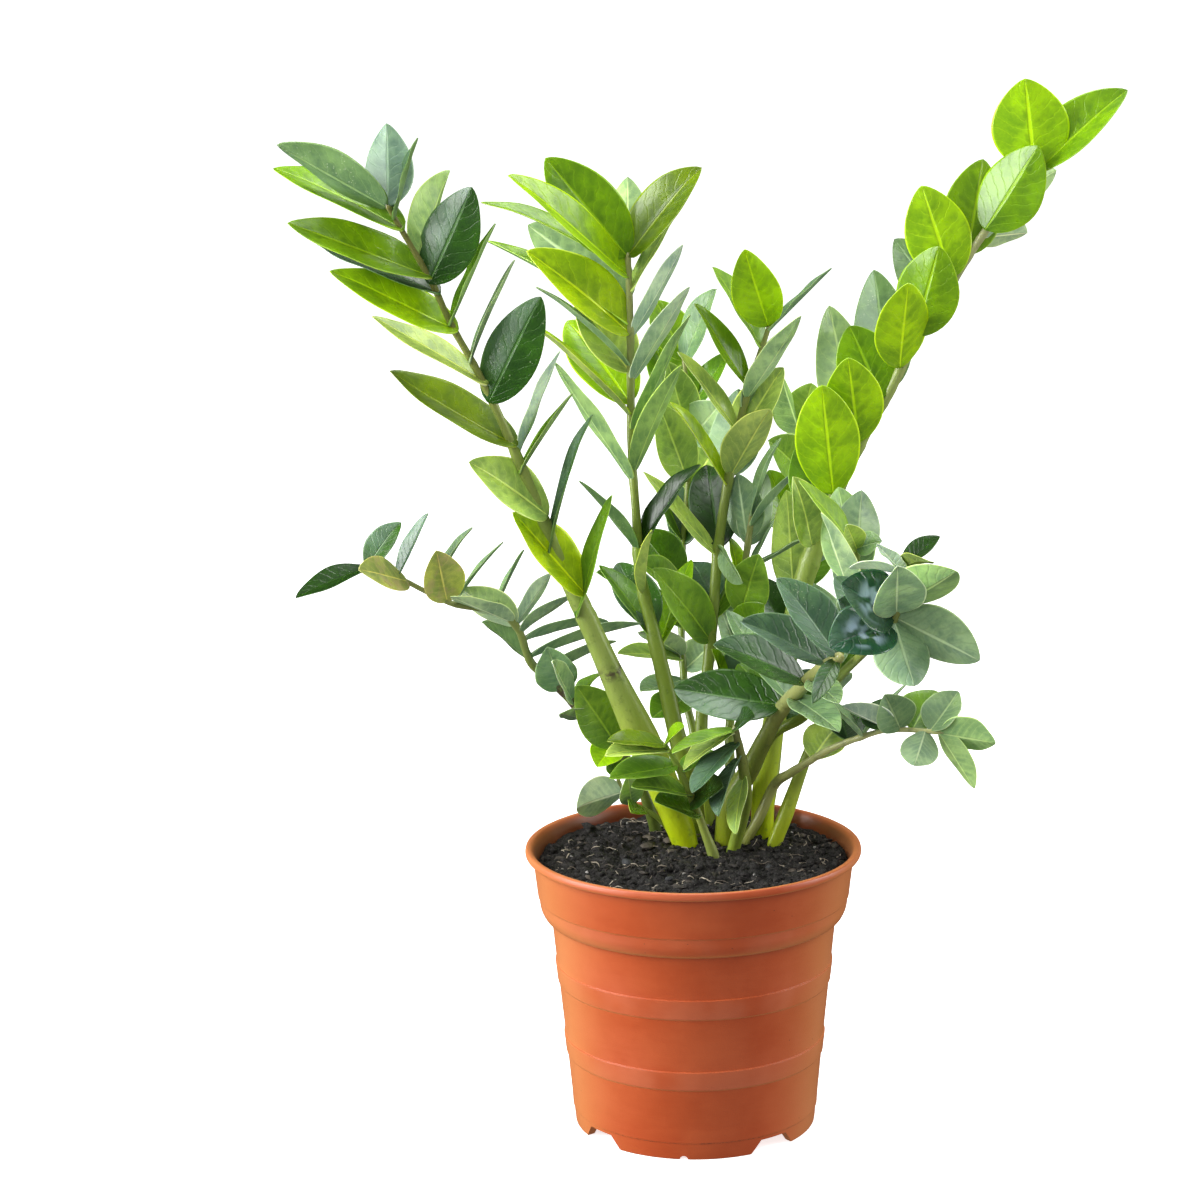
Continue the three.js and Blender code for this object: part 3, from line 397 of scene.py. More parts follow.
def blend_colour(a, b, share):
    return tuple(blend(p, q, share) for p, q in zip(a, b))


def smooth_step(low, high, value):
    share = min(max((value - low) / (high - low), 0.0), 1.0)
    return share * share * (3 - 2 * share)


def circle(sides):
    """The cosines and sines of evenly spread angles, once round."""
    angles = [2 * math.pi * k / sides for k in range(sides)]
    return [(math.cos(angle), math.sin(angle)) for angle in angles]


def plain_object(name, corners, faces):
    mesh = bpy.data.meshes.new(name)
    mesh.from_pydata([Vector(corner) * MM for corner in corners], [], faces)
    thing = bpy.data.objects.new(name, mesh)
    bpy.context.scene.collection.objects.link(thing)
    return thing


def set_attribute(mesh, name, values):
    """Per-point numbers, or per-point colours."""
    if isinstance(values[0], tuple):
        layer = mesh.attributes.new(name, "FLOAT_COLOR", "POINT")
        layer.data.foreach_set("color", [part for value in values for part in (*value, 1.0)])
    else:
        layer = mesh.attributes.new(name, "FLOAT", "POINT")
        layer.data.foreach_set("value", values)


class Surface:
    """Points, faces and per-point values of one piece while it is being built."""

    def __init__(self):
        self.points = []
        self.faces = []
        self.values = {}

    def add(self, point, **values):
        self.points.append(Vector(point))
        for name, value in values.items():
            self.values.setdefault(name, []).append(value)
        return len(self.points) - 1

    def add_circle(self, radius, height, sides):
        return [self.add((radius * a, radius * b, height)) for a, b in circle(sides)]

    def add_rings(self, rings):
        """Closed rings of point numbers become the skin of a tube, closed at both ends."""
        for here, after in zip(rings, rings[1:]):
            for k in range(len(here)):
                m = (k + 1) % len(here)
                self.faces.append((here[k], here[m], after[m], after[k]))
        self.faces.append(tuple(reversed(rings[0])))
        self.faces.append(tuple(rings[-1]))

    def piece(self, name, material, replaced=()):
        thing = plain_object(name, self.points, self.faces)
        for value_name, values in self.values.items():
            set_attribute(thing.data, value_name, values)
        thing.data.shade_smooth()
        thing.data.materials.append(material)
        thing.data.validate()
        if replaced:
            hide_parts(*replaced)
        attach(thing, BODY)
        return thing


class Shader:
    """A material's node tree, built node by node."""

    def __init__(self, name):
        self.material = bpy.data.materials.new(name)
        self.material.use_nodes = True
        self.tree = self.material.node_tree

    def add(self, kind, inputs, **settings):
        node = self.tree.nodes.new(kind)
        for key, value in settings.items():
            setattr(node, key, value)
        self.feed(node, inputs)
        return node

    def feed(self, node, inputs):
        for key, value in inputs.items():
            if isinstance(value, bpy.types.NodeSocket):
                self.tree.links.new(value, node.inputs[key])
            else:
                node.inputs[key].default_value = value

    def finish(self, **inputs):
        """Inputs of the surface, with _ for each space. Returns the finished material."""
        surface = self.tree.nodes["Principled BSDF"]
        self.feed(surface, {key.replace("_", " "): value for key, value in inputs.items()})
        return self.material

    def math(self, operation, a, b=0.0):
        return self.add("ShaderNodeMath", {0: a, 1: b}, operation=operation).outputs[0]

    def times(self, a, b):
        return self.math("MULTIPLY", a, b)

    def plus(self, a, b):
        return self.math("ADD", a, b)

    def minus(self, a, b):
        return self.math("SUBTRACT", a, b)

    def attribute(self, name, output="Fac"):
        return self.add("ShaderNodeAttribute", {}, attribute_name=name).outputs[output]

    def mix(self, share, a, b, blend_type="MIX"):
        node = self.add("ShaderNodeMix", {}, data_type="RGBA", blend_type=blend_type)
        self.feed(node, {0: share, 6: a, 7: b})
        return node.outputs[2]

    def filtered(self, colour, red, green, blue):
        return self.mix(1.0, colour, rgb(red, green, blue), "MULTIPLY")

    def layered(self, colour, *layers):
        """A colour under layers of others. Each layer: where it lies, its strength, its colour."""
        for where, strength, layer in layers:
            colour = self.mix(self.times(where, strength), colour, layer)
        return colour

    def position(self):
        return self.add("ShaderNodeTexCoord", {}).outputs["Object"]

    def stretched(self, scale):
        return self.add("ShaderNodeMapping", {"Vector": self.position(), "Scale": scale}).outputs[0]

    def noise(self, scale, detail=3.0, roughness=0.5, vector=None):
        inputs = {"Vector": vector or self.position(), "Scale": scale}
        inputs.update({"Detail": detail, "Roughness": roughness})
        return self.add("ShaderNodeTexNoise", inputs).outputs["Fac"]

    def spots(self, scale):
        inputs = {"Vector": self.position(), "Scale": scale}
        return self.add("ShaderNodeTexVoronoi", inputs).outputs["Distance"]

    def between(self, value, low, high):
        """0 below low, 1 above high, smooth between them."""
        inputs = {"Value": value, "From Min": low, "From Max": high}
        node = self.add("ShaderNodeMapRange", inputs, interpolation_type="SMOOTHSTEP")
        return node.outputs["Result"]

    def bump(self, height, distance, strength):
        inputs = {"Height": height, "Distance": distance, "Strength": strength}
        return self.add("ShaderNodeBump", inputs).outputs[0]


def rgb(red, green, blue):
    return (red, green, blue, 1.0)


# ---- materials


def leaf_material():
    s = Shader("waxy_leaf")
    along = s.attribute("along")
    across = s.math("ABSOLUTE", s.attribute("across"))
    under = s.attribute("under")
    tone = s.attribute("tone", "Color")
    puckered = s.attribute("puckered")
    shiny = s.attribute("shiny")

    # Side veins leave the midrib at a slant. On puckered leaflets they are creases, with painted shade in
    # them.
    warp = s.times(s.noise(120.0, 3.0), 1.4)
    slant = s.minus(s.times(along, 8.0), s.times(across, 1.9))
    wave = s.math("PINGPONG", s.plus(slant, warp), 0.5)
    vein = s.times(s.between(wave, 0.07, 0.0), s.minus(1.0, puckered))
    crease = s.times(s.between(wave, 0.20, 0.0), puckered)
    field = s.times(s.between(wave, 0.08, 0.46), s.between(across, 0.95, 0.20))
    field = s.times(field, s.between(s.noise(120.0, 3.0, 0.6), 0.34, 0.66))
    midrib = s.between(across, 0.075, 0.02)
    margin = s.between(across, 0.93, 0.99)
    # Painted shade: a leaflet is darker towards its root at the stalk.
    base = s.between(along, 0.50, 0.0)
    patches = s.between(s.noise(60.0, 4.0, 0.6), 0.36, 0.64)
    fine = s.between(s.noise(900.0, 3.0, 0.6), 0.3, 0.7)
    deep = s.filtered(tone, 0.24, 0.36, 0.45)
    # A darker copy of the tone, painted as shade in the creases.
    painted_crease_shade = s.filtered(deep, 0.5, 0.55, 0.6)
    light = s.filtered(tone, 1.80, 1.55, 1.80)

    # One half of a dark leaflet is painted with a bluish sheen, and the leaflet has pale mineral specks.
    soft = s.between(s.noise(150.0, 4.0, 0.6), 0.25, 0.65)
    painted_half_sheen = s.times(s.attribute("bloom"), s.plus(s.times(soft, 0.5), 0.35))
    middle = s.math("ABSOLUTE", s.minus(along, 0.48))
    sheen = s.times(s.between(middle, 0.30, 0.08), s.between(across, 0.80, 0.30))
    sheen = s.times(s.times(sheen, s.between(s.noise(140.0, 1.0), 0.42, 0.60)), shiny)
    specks = s.times(s.between(s.spots(620.0), 0.26, 0.10), s.attribute("specks"))
    specks = s.times(specks, s.between(s.noise(90.0, 2.0), 0.50, 0.62))
    worn = s.times(s.between(s.noise(75.0, 4.0, 0.65), 0.48, 0.60), s.attribute("brown"))
    colour = s.layered(
        tone,
        (patches, 0.60, deep),
        (base, 0.45, deep),
        (field, 0.50, deep),
        (vein, 0.26, light),
        (crease, 0.38, painted_crease_shade),
        (midrib, 0.70, light),
        (margin, 0.80, light),
        (fine, 0.10, light),
        (painted_half_sheen, 1.0, rgb(0.20, 0.31, 0.22)),
        (sheen, 0.80, rgb(0.46, 0.60, 0.72)),
        (specks, 1.0, rgb(0.50, 0.56, 0.36)),
        (worn, 0.6, rgb(0.50, 0.39, 0.19)),
    )

    roughness = s.plus(s.plus(s.times(under, 0.20), 0.26), s.times(patches, 0.10))
    ribs = s.minus(s.times(vein, -0.22), s.times(midrib, 0.9))
    ribs = s.minus(ribs, s.times(crease, 0.5))
    ribs = s.plus(ribs, s.times(s.noise(420.0, 3.0), 0.35))
    return s.finish(
        Base_Color=colour,
        Roughness=s.minus(roughness, s.times(shiny, 0.14)),
        Normal=s.bump(ribs, 0.00040, 0.9),
        Subsurface_Weight=0.15,
        Subsurface_Radius=(0.8, 1.0, 0.2),
        Subsurface_Scale=0.0012,
        Coat_Weight=0.20,
        Coat_Roughness=0.10,
        IOR=1.46,
    )


def stalk_material():
    s = Shader("fleshy_stalk")
    tone = s.attribute("tone", "Color")
    streaks = s.between(s.noise(130.0, 4.0, 0.6, s.stretched((1.0, 1.0, 0.12))), 0.35, 0.65)
    blotches = s.between(s.noise(190.0, 4.0, 0.7), 0.56, 0.70)
    dashes = s.between(s.spots(480.0), 0.20, 0.08)
    worn = s.times(s.between(s.noise(240.0, 4.0, 0.7), 0.40, 0.56), s.attribute("brown"))
    colour = s.layered(
        tone,
        (streaks, 0.35, s.filtered(tone, 0.6, 0.66, 0.55)),
        (blotches, 0.45, s.filtered(tone, 0.3, 0.36, 0.28)),
        (dashes, 0.22, rgb(0.36, 0.42, 0.22)),
        (worn, 1.0, rgb(0.075, 0.055, 0.035)),
    )
    height = s.plus(s.times(streaks, 0.5), s.noise(700.0, 3.0))
    return s.finish(
        Base_Color=colour,
        Roughness=s.plus(s.times(blotches, 0.15), 0.34),
        Normal=s.bump(height, 0.00025, 0.7),
        Subsurface_Weight=0.25,
        Subsurface_Radius=(0.8, 1.0, 0.25),
        Subsurface_Scale=0.002,
        Coat_Weight=0.12,
        Coat_Roughness=0.2,
    )


def pot_material():
    s = Shader("terracotta_plastic")
    clouds = s.between(s.noise(26.0, 4.0, 0.6), 0.3, 0.7)
    drawn = s.between(s.noise(60.0, 5.0, 0.6, s.stretched((1.0, 1.0, 4.0))), 0.3, 0.7)
    # Paler plastic on the rim and ribs: partly wear, partly a painted sheen.
    bloom = s.times(s.attribute("rubbed_and_sheen"), s.between(s.noise(24.0, 3.0, 0.5), 0.30, 0.60))
    # The inside of the wall is painted darker: partly dust, partly painted shade.
    inside = s.times(s.attribute("inside"), s.plus(s.times(clouds, 0.2), 0.6))
    dirt = s.times(s.attribute("dirt"), s.between(s.noise(520.0, 4.0, 0.7), 0.46, 0.62))
    specks = s.between(s.spots(95.0), 0.035, 0.02)

    # Painted sheen: where the wall is seen at a slant, its colour is painted paler and more yellow.
    facing = s.add("ShaderNodeLayerWeight", {"Blend": 0.5}).outputs["Facing"]
    colour = s.layered(
        s.mix(clouds, rgb(0.39, 0.055, 0.008), rgb(0.45, 0.072, 0.010)),
        (drawn, 0.14, rgb(0.50, 0.10, 0.022)),
        (bloom, 0.34, rgb(0.52, 0.17, 0.085)),
        (s.between(facing, 0.20, 0.78), 1.0, rgb(0.54, 0.18, 0.055)),
        (inside, 1.0, rgb(0.10, 0.030, 0.012)),
        (dirt, 0.8, rgb(0.09, 0.03, 0.015)),
        (specks, 0.8, rgb(0.12, 0.035, 0.012)),
    )
    height = s.plus(s.times(drawn, 0.3), s.times(s.noise(1400.0, 3.0, 0.6), 0.35))
    return s.finish(
        Base_Color=colour,
        Roughness=s.plus(s.times(clouds, 0.10), 0.38),
        Normal=s.bump(height, 0.0002, 0.6),
        Specular_IOR_Level=0.70,
        IOR=1.49,
    )


def soil_material():
    s = Shader("potting_soil")
    coarse = s.between(s.noise(160.0, 6.0, 0.7), 0.35, 0.65)
    fine = s.between(s.noise(900.0, 4.0, 0.7), 0.35, 0.70)
    pale = s.between(s.spots(420.0), 0.13, 0.07)
    colour = s.layered(
        s.mix(coarse, rgb(0.003, 0.0028, 0.0026), rgb(0.015, 0.013, 0.012)),
        (fine, 0.38, rgb(0.055, 0.047, 0.040)),
        (pale, 0.7, rgb(0.25, 0.22, 0.18)),
    )
    height = s.plus(s.noise(380.0, 8.0, 0.75), s.times(s.noise(1500.0, 4.0), 0.4))
    return s.finish(
        Base_Color=colour,
        Roughness=s.minus(0.95, s.times(fine, 0.3)),
        Normal=s.bump(height, 0.0014, 1.0),
    )


def bits_material():
    s = Shader("bark_and_fibre")
    tone = s.attribute("tone", "Color")
    grain = s.between(s.noise(700.0, 5.0, 0.7), 0.3, 0.7)
    return s.finish(
        Base_Color=s.layered(tone, (grain, 0.6, s.filtered(tone, 0.35, 0.33, 0.3))),
        Roughness=s.plus(s.times(grain, 0.25), 0.55),
        Normal=s.bump(grain, 0.0003, 0.8),
    )


def floor_material():
    s = Shader("pale_floor")
    mist = s.noise(3.0, 2.0)
    return s.finish(
        Base_Color=s.mix(mist, rgb(0.90, 0.90, 0.90), rgb(0.93, 0.93, 0.93)),
        Roughness=0.8,
        Emission_Color=rgb(1.0, 1.0, 1.0),
        Emission_Strength=0.75,
    )


# ---- pot


def wall_radius(height):
    return FOOT_RADIUS + WALL_DRAFT * height


def inner_radius(height):
    if height <= SHOULDER_START:
        return wall_radius(height) - WALL_THICKNESS
    if height < SHOULDER_END:
        share = (height - SHOULDER_START) / (SHOULDER_END - SHOULDER_START)
        return blend(wall_radius(SHOULDER_START), BAND_RADIUS_LOW, share) - WALL_THICKNESS
    share = (height - SHOULDER_END) / (LIP_BOTTOM - SHOULDER_END)
    return blend(BAND_RADIUS_LOW, BAND_RADIUS_HIGH, share) - WALL_THICKNESS


def rounded(profile):
    """Profile corners (radius, height, rounding) become short arcs."""
    outline = [profile[0][:2]]
    for before, corner, after in zip(profile, profile[1:], profile[2:]):
        point = Vector(corner[:2])
        rounding = corner[2]
        start = point + (Vector(before[:2]) - point).normalized() * rounding
        end = point + (Vector(after[:2]) - point).normalized() * rounding
        for step in range(ARC_STEPS + 1):
            share = step / ARC_STEPS
            low = start.lerp(point, share)
            outline.append(tuple(low.lerp(point.lerp(end, share), share)))
    outline.append(profile[-1][:2])
    return outline


def pot_outline():
    """From the middle of the underside out, up the wall, over the lip and down to the floor."""
    foot_inner = FOOT_RADIUS - FOOT_RING_WIDTH
    profile = [
        (0, 0, 0),
        (PAD_RADIUS, 0, 0.8),
        (PAD_RADIUS + 1.5, BASE_RECESS, 0.8),
        (foot_inner, BASE_RECESS, 0.8),
        (foot_inner, 0, 0.6),
        (FOOT_RADIUS, 0, 0.8),
        (wall_radius(SEAM_HEIGHT - 0.6), SEAM_HEIGHT - 0.6, 0.1),
        (wall_radius(SEAM_HEIGHT), SEAM_HEIGHT, 0.1),
        (wall_radius(SEAM_HEIGHT) + SEAM_STEP, SEAM_HEIGHT + 0.15, 0.1),
        (wall_radius(SEAM_HEIGHT + 0.9) + SEAM_STEP, SEAM_HEIGHT + 0.9, 0.1),
        (wall_radius(SEAM_HEIGHT + 8) + 0.1, SEAM_HEIGHT + 8, 1.0),
    ]
    for low, high in RIBS:
        profile += [
            (wall_radius(low), low, 0.5),
            (wall_radius(low) + RIB_HEIGHT, low + 0.7, 0.3),
            (wall_radius(high) + RIB_HEIGHT, high - 0.35, 0.15),
            (wall_radius(high), high, 0.15),
        ]
    profile += [
        (wall_radius(SHOULDER_START), SHOULDER_START, 0.6),
        (wall_radius(SHOULDER_START) + 3.4, SHOULDER_START + 1.3, 1.6),
        (BAND_RADIUS_LOW - 1.0, SHOULDER_START + 5.5, 2.4),
        (BAND_RADIUS_LOW - 0.5, SHOULDER_END - 0.4, 0.2),
        (BAND_RADIUS_LOW + 0.1, SHOULDER_END + 0.2, 0.3),
        (BAND_RADIUS_HIGH, LIP_BOTTOM, 0.8),
        (LIP_RADIUS - 0.7, LIP_BOTTOM + 0.2, 0.8),
        (LIP_RADIUS, blend(LIP_BOTTOM, POT_HEIGHT, 0.4), 0.9),
        (LIP_RADIUS - 0.5, POT_HEIGHT, 0.9),
        (RIM_INNER_RADIUS, POT_HEIGHT, 1.2),
    ]
    for height in (LIP_BOTTOM, SHOULDER_END, SHOULDER_START, FLOOR_TOP):
        profile.append((inner_radius(height), height, 2.0))
    profile.append((0, FLOOR_TOP, 0))
    return rounded(profile)


def prism(name, outline, start, end, angle):
    """An outline of sideways and upright places, drawn outwards from start to end along angle."""
    outward = Vector((math.cos(angle), math.sin(angle), 0))
    sideways = Vector((-math.sin(angle), math.cos(angle), 0))
    tube = Surface()
    rings = []
    for reach in (start, end):
        places = [outward * reach + sideways * a + Vector((0, 0, b)) for a, b in outline]
        rings.append([tube.add(place) for place in places])
    tube.add_rings(rings)
    return plain_object(name, tube.points, tube.faces)


def drain(centre):
    hole = Surface()
    rings = []
    for height in (-4.0, 2.0 * FLOOR_TOP):
        up = Vector((0, 0, height))
        edges = [Vector((a, b, 0)) * DRAIN_RADIUS for a, b in circle(32)]
        rings.append([hole.add(centre + edge + up) for edge in edges])
    hole.add_rings(rings)
    return plain_object("drain", hole.points, hole.faces)


def pot_cutters():
    """Foot notches, a small half-round nick in each foot, and the drain holes."""
    cutters = []
    slope = 0.5 * (NOTCH_GROUND_WIDTH - NOTCH_ROOF_WIDTH) / NOTCH_HEIGHT
    low_half = 0.5 * NOTCH_ROOF_WIDTH + slope * (NOTCH_HEIGHT + 1)
    roof_half = 0.5 * NOTCH_ROOF_WIDTH
    notch = [(-low_half, -1), (low_half, -1), (roof_half, NOTCH_HEIGHT), (-roof_half, NOTCH_HEIGHT)]
    nick = [(NICK_RADIUS * a, NICK_RADIUS * b) for a, b in circle(16)]
    start = FOOT_RADIUS - 2.5 * FOOT_RING_WIDTH
    end = FOOT_RADIUS + 1.5 * FOOT_RING_WIDTH
    for quarter in range(QUARTERS):
        angle = math.radians(FIRST_NOTCH_ANGLE + 90 * quarter)
        cutters.append(prism("notch", notch, start, end, angle))
        cutters.append(prism("nick", nick, start, end, angle - math.radians(45)))
        cutters.append(drain(Vector((math.cos(angle), math.sin(angle), 0)) * DRAIN_RING_RADIUS))
    return cutters


def mark_pot(mesh):
    """Where the plastic is worn and painted with a sheen, where dirt sits in the seam, and where the inside
    is, which is painted darker for dust and shade.
    """
    rubbed_and_sheen = []
    dirt = []
    inside = []
    for vertex in mesh.vertices:
        height = vertex.co.z / MM
        reach = math.hypot(vertex.co.x, vertex.co.y) / MM
        mark = 0.85 * smooth_step(POT_HEIGHT - SHEEN_AND_WEAR_RIM, POT_HEIGHT - 0.5 * SHEEN_AND_WEAR_RIM, height)
        for low, high in RIBS + [(SHOULDER_START, SHOULDER_END)]:
            on_rib = smooth_step(low - 0.5, low + 0.9, height) - smooth_step(high - 0.9, high + 0.5, height)
            mark = max(mark, on_rib)
        rubbed_and_sheen.append(mark)
        inside.append(smooth_step(2.0, 0.5, reach - inner_radius(height)) if height > FLOOR_TOP else 0.0)
        dirt.append(0.8 * max(0.0, 1 - abs(height - SEAM_HEIGHT) / 0.5))
    set_attribute(mesh, "rubbed_and_sheen", rubbed_and_sheen)
    set_attribute(mesh, "dirt", dirt)
    set_attribute(mesh, "inside", inside)


def make_pot():
    shell = Surface()
    rings = []
    for radius, height in pot_outline():
        rings.append(shell.add_circle(max(radius, AXIS_RADIUS), height, POT_SIDES))
    shell.add_rings(rings)
    pot = shell.piece("pot_shell", pot_material(), ["pot"])

    for cutter in pot_cutters():
        cut = pot.modifiers.new("cut", "BOOLEAN")
        cut.operation = "DIFFERENCE"
        cut.solver = "EXACT"
        cut.object = cutter
        with bpy.context.temp_override(object=pot, active_object=pot):
            bpy.ops.object.modifier_apply(modifier=cut.name)
        bpy.data.objects.remove(cutter)
    pot.data.set_sharp_from_angle(angle=math.radians(40))
    mark_pot(pot.data)


# ---- soil


def soil_height(x, y):
    edge = inner_radius(SOIL_LEVEL)
    share = min(math.hypot(x, y) / edge, 1.0)
    coarse = math.sin(0.11 * x + 1.3) * math.cos(0.13 * y - 0.4)
    fine = math.sin(0.29 * x - 0.21 * y) * math.cos(0.24 * x + 0.31 * y + 0.8)
    height = SOIL_LEVEL + blend(SOIL_MOUND, EDGE_RISE, share * share)
    height += SOIL_LUMP * (0.7 * coarse + 0.6 * fine)
    height += 1.5 * noise.noise(Vector((0.13 * x, 0.13 * y, 3.1)))
    height += 1.0 * noise.noise(Vector((0.34 * x, 0.34 * y, 7.7)))
    height += 0.6 * noise.noise(Vector((0.85 * x, 0.85 * y, 1.9)))
    return height


def soil_point(x, y, lift=0.0):
    return Vector((x, y, soil_height(x, y) + lift))


def make_soil():
    bed = Surface()
    rings = [bed.add_circle(AXIS_RADIUS, FLOOR_TOP + SOIL_GAP, SOIL_SIDES)]
    for height in (FLOOR_TOP + SOIL_GAP, SHOULDER_START, SHOULDER_END, SOIL_LEVEL - 4):
        rings.append(bed.add_circle(inner_radius(height) - SOIL_GAP, height, SOIL_SIDES))
    edge = inner_radius(SOIL_LEVEL) - SOIL_GAP
    for step in range(SOIL_STEPS + 1):
        radius = blend(edge, AXIS_RADIUS, step / SOIL_STEPS)
        rings.append([bed.add(soil_point(radius * a, radius * b)) for a, b in circle(SOIL_SIDES)])
    bed.add_rings(rings)
    bed.piece("soil_bed", soil_material(), ["soil"])


def random_place(draw):
    """A point of the soil's surface, clear of the wall."""
    angle = draw.uniform(0, 2 * math.pi)
    radius = (inner_radius(SOIL_LEVEL) - 4) * math.sqrt(draw.random())
    return soil_point(radius * math.cos(angle), radius * math.sin(angle))


ICO = 0.525731
ICO_LONG = 0.850651
LUMP_CORNERS = [Vector(c) for c in (
    (-ICO, 0, ICO_LONG), (ICO, 0, ICO_LONG), (-ICO, 0, -ICO_LONG), (ICO, 0, -ICO_LONG),
    (0, ICO_LONG, ICO), (0, ICO_LONG, -ICO), (0, -ICO_LONG, ICO), (0, -ICO_LONG, -ICO),
    (ICO_LONG, ICO, 0), (-ICO_LONG, ICO, 0), (ICO_LONG, -ICO, 0), (-ICO_LONG, -ICO, 0),
)]
LUMP_FACES = [
    (0, 1, 4), (0, 4, 9), (9, 4, 5), (4, 8, 5), (4, 1, 8), (8, 1, 10), (8, 10, 3), (5, 8, 3),
    (5, 3, 2), (2, 3, 7), (7, 3, 10), (7, 10, 6), (7, 6, 11), (11, 6, 0), (0, 6, 1), (6, 10, 1),
    (9, 11, 0), (9, 2, 11), (9, 5, 2), (7, 11, 2),
]


def lump_mesh():
    """A twenty-sided lump with each side split in four."""
    corners = list(LUMP_CORNERS)
    middles = {}

    def middle(a, b):
        key = (min(a, b), max(a, b))
        if key not in middles:
            corners.append((corners[a] + corners[b]).normalized())
            middles[key] = len(corners) - 1
        return middles[key]

    faces = []
    for a, b, c in LUMP_FACES:
        ab, bc, ca = middle(a, b), middle(b, c), middle(c, a)
        faces += [(a, ab, ca), (b, bc, ab), (c, ca, bc), (ab, bc, ca)]
    return corners, faces


def add_lump(surface, lump, place, sizes, draw, colour, rough):
    corners, faces = lump
    turn = Matrix.Rotation(draw.uniform(0, 2 * math.pi), 3, "Z")
    turn = turn @ Matrix.Rotation(draw.uniform(-0.5, 0.5), 3, "X")
    shift = Vector((draw.uniform(0, 50), draw.uniform(0, 50), 0))
    first = len(surface.points)
    for corner in corners:
        swell = 1 + rough * noise.noise(corner * 1.7 + shift)
        shaped = Vector((corner.x * sizes[0], corner.y * sizes[1], corner.z * sizes[2])) * swell
        surface.add(place + turn @ shaped, tone=colour)
    surface.faces += [tuple(first + k for k in face) for face in faces]


def add_fibre(surface, place, draw, length, radius, colour):
    heading = draw.uniform(0, 2 * math.pi)
    bend = draw.uniform(-1.6, 1.6)
    rings = []
    for step in range(7):
        share = step / 6
        turn = heading + bend * share
        x = place.x + length * (share - 0.5) * math.cos(turn)
        y = place.y + length * (share - 0.5) * math.sin(turn)
        if math.hypot(x, y) > inner_radius(SOIL_LEVEL) - 2:
            return
        centre = soil_point(x, y, 0.5 + 0.7 * math.sin(math.pi * share))
        side = Vector((-math.sin(turn), math.cos(turn), 0))
        reach = radius * (1.15 - 0.9 * abs(share - 0.5))
        ring = []
        for a, b in circle(5):
            offset = side * a + Vector((0, 0, b))
            ring.append(surface.add(centre + offset * reach, tone=colour))
        rings.append(ring)
    surface.add_rings(rings)


def make_soil_cover():
    draw = random.Random(11)
    lump = lump_mesh()

    clods = Surface()
    for _ in range(CLODS):
        place = random_place(draw)
        size = draw.uniform(0.7, 2.6)
        sizes = (size, size * draw.uniform(0.7, 1.3), size * draw.uniform(0.5, 0.9))
        add_lump(clods, lump, place, sizes, draw, (0.02, 0.018, 0.016), 0.7)
    clods.piece("soil_clods", soil_material())

    bits = Surface()
    for _ in range(FLAKES):
        place = random_place(draw) + BIT_LIFT
        length = draw.uniform(1.5, 4.5)
        sizes = (length, length * draw.uniform(0.3, 0.7), draw.uniform(0.4, 0.9))
        colour = blend_colour((0.02, 0.017, 0.015), (0.17, 0.14, 0.11), draw.random() ** 2.5)
        add_lump(bits, lump, place, sizes, draw, colour, 0.6)
    for _ in range(GRAINS):
        place = random_place(draw) + BIT_LIFT
        size = draw.uniform(0.3, 0.9)
        shade = draw.uniform(0.25, 0.6)
        sizes = (size, size, size * 0.8)
        add_lump(bits, lump, place, sizes, draw, (shade, shade * 0.96, shade * 0.9), 0.6)
    for _ in range(FIBRES):
        place = random_place(draw)
        colour = blend_colour((0.05, 0.038, 0.028), (0.60, 0.52, 0.40), draw.random() ** 2)
        length, radius = draw.uniform(3, 11), draw.uniform(0.12, 0.36)
        add_fibre(bits, place, draw, length, radius, colour)
    for x, y, size in GREY_CHIPS:
        place = soil_point(x, y, 1.2)
        add_lump(bits, lump, place, (size, 0.8 * size, 0.6 * size), draw, (0.04, 0.042, 0.046), 0.5)
    bits.piece("soil_bits", bits_material())


# ---- stalks and leaflets


def stalk_point(points, share):
    """The same smooth curve through the stalk's points as in the solids."""
    last = len(points) - 1
    spot = min(max(share, 0.0), 1.0) * last
    index = min(int(spot), last - 1)
    t = spot - index
    p1, p2 = points[index], points[index + 1]
    p0 = points[index - 1] if index > 0 else 2 * p1 - p2
    p3 = points[index + 2] if index + 2 <= last else 2 * p2 - p1
    a = 2 * p1
    b = p2 - p0
    c = 2 * p0 - 5 * p1 + 4 * p2 - p3
    d = 3 * p1 - p0 - 3 * p2 + p3
    return 0.5 * (a + b * t + c * t * t + d * t * t * t)


def stalk_heading(points, share):
    step = 0.001
    return (stalk_point(points, share + step) - stalk_point(points, share - step)).normalized()


def stalk_radius(name, place):
    stalk = STALKS[name]
    index = min(int(place), len(stalk) - 2)
    return blend(stalk[index][3], stalk[index + 1][3], place - index)


def stalk_colour(name, rise):
    """The stalk's colour at a share of its height above the soil."""
    low, middle, high = STALK_COLOURS.get(name, DEFAULT_STALK)
    if rise < 0.30:
        return blend_colour(low, middle, smooth_step(0.0, 0.30, rise))
    return blend_colour(middle, high, smooth_step(0.45, 1.0, rise))


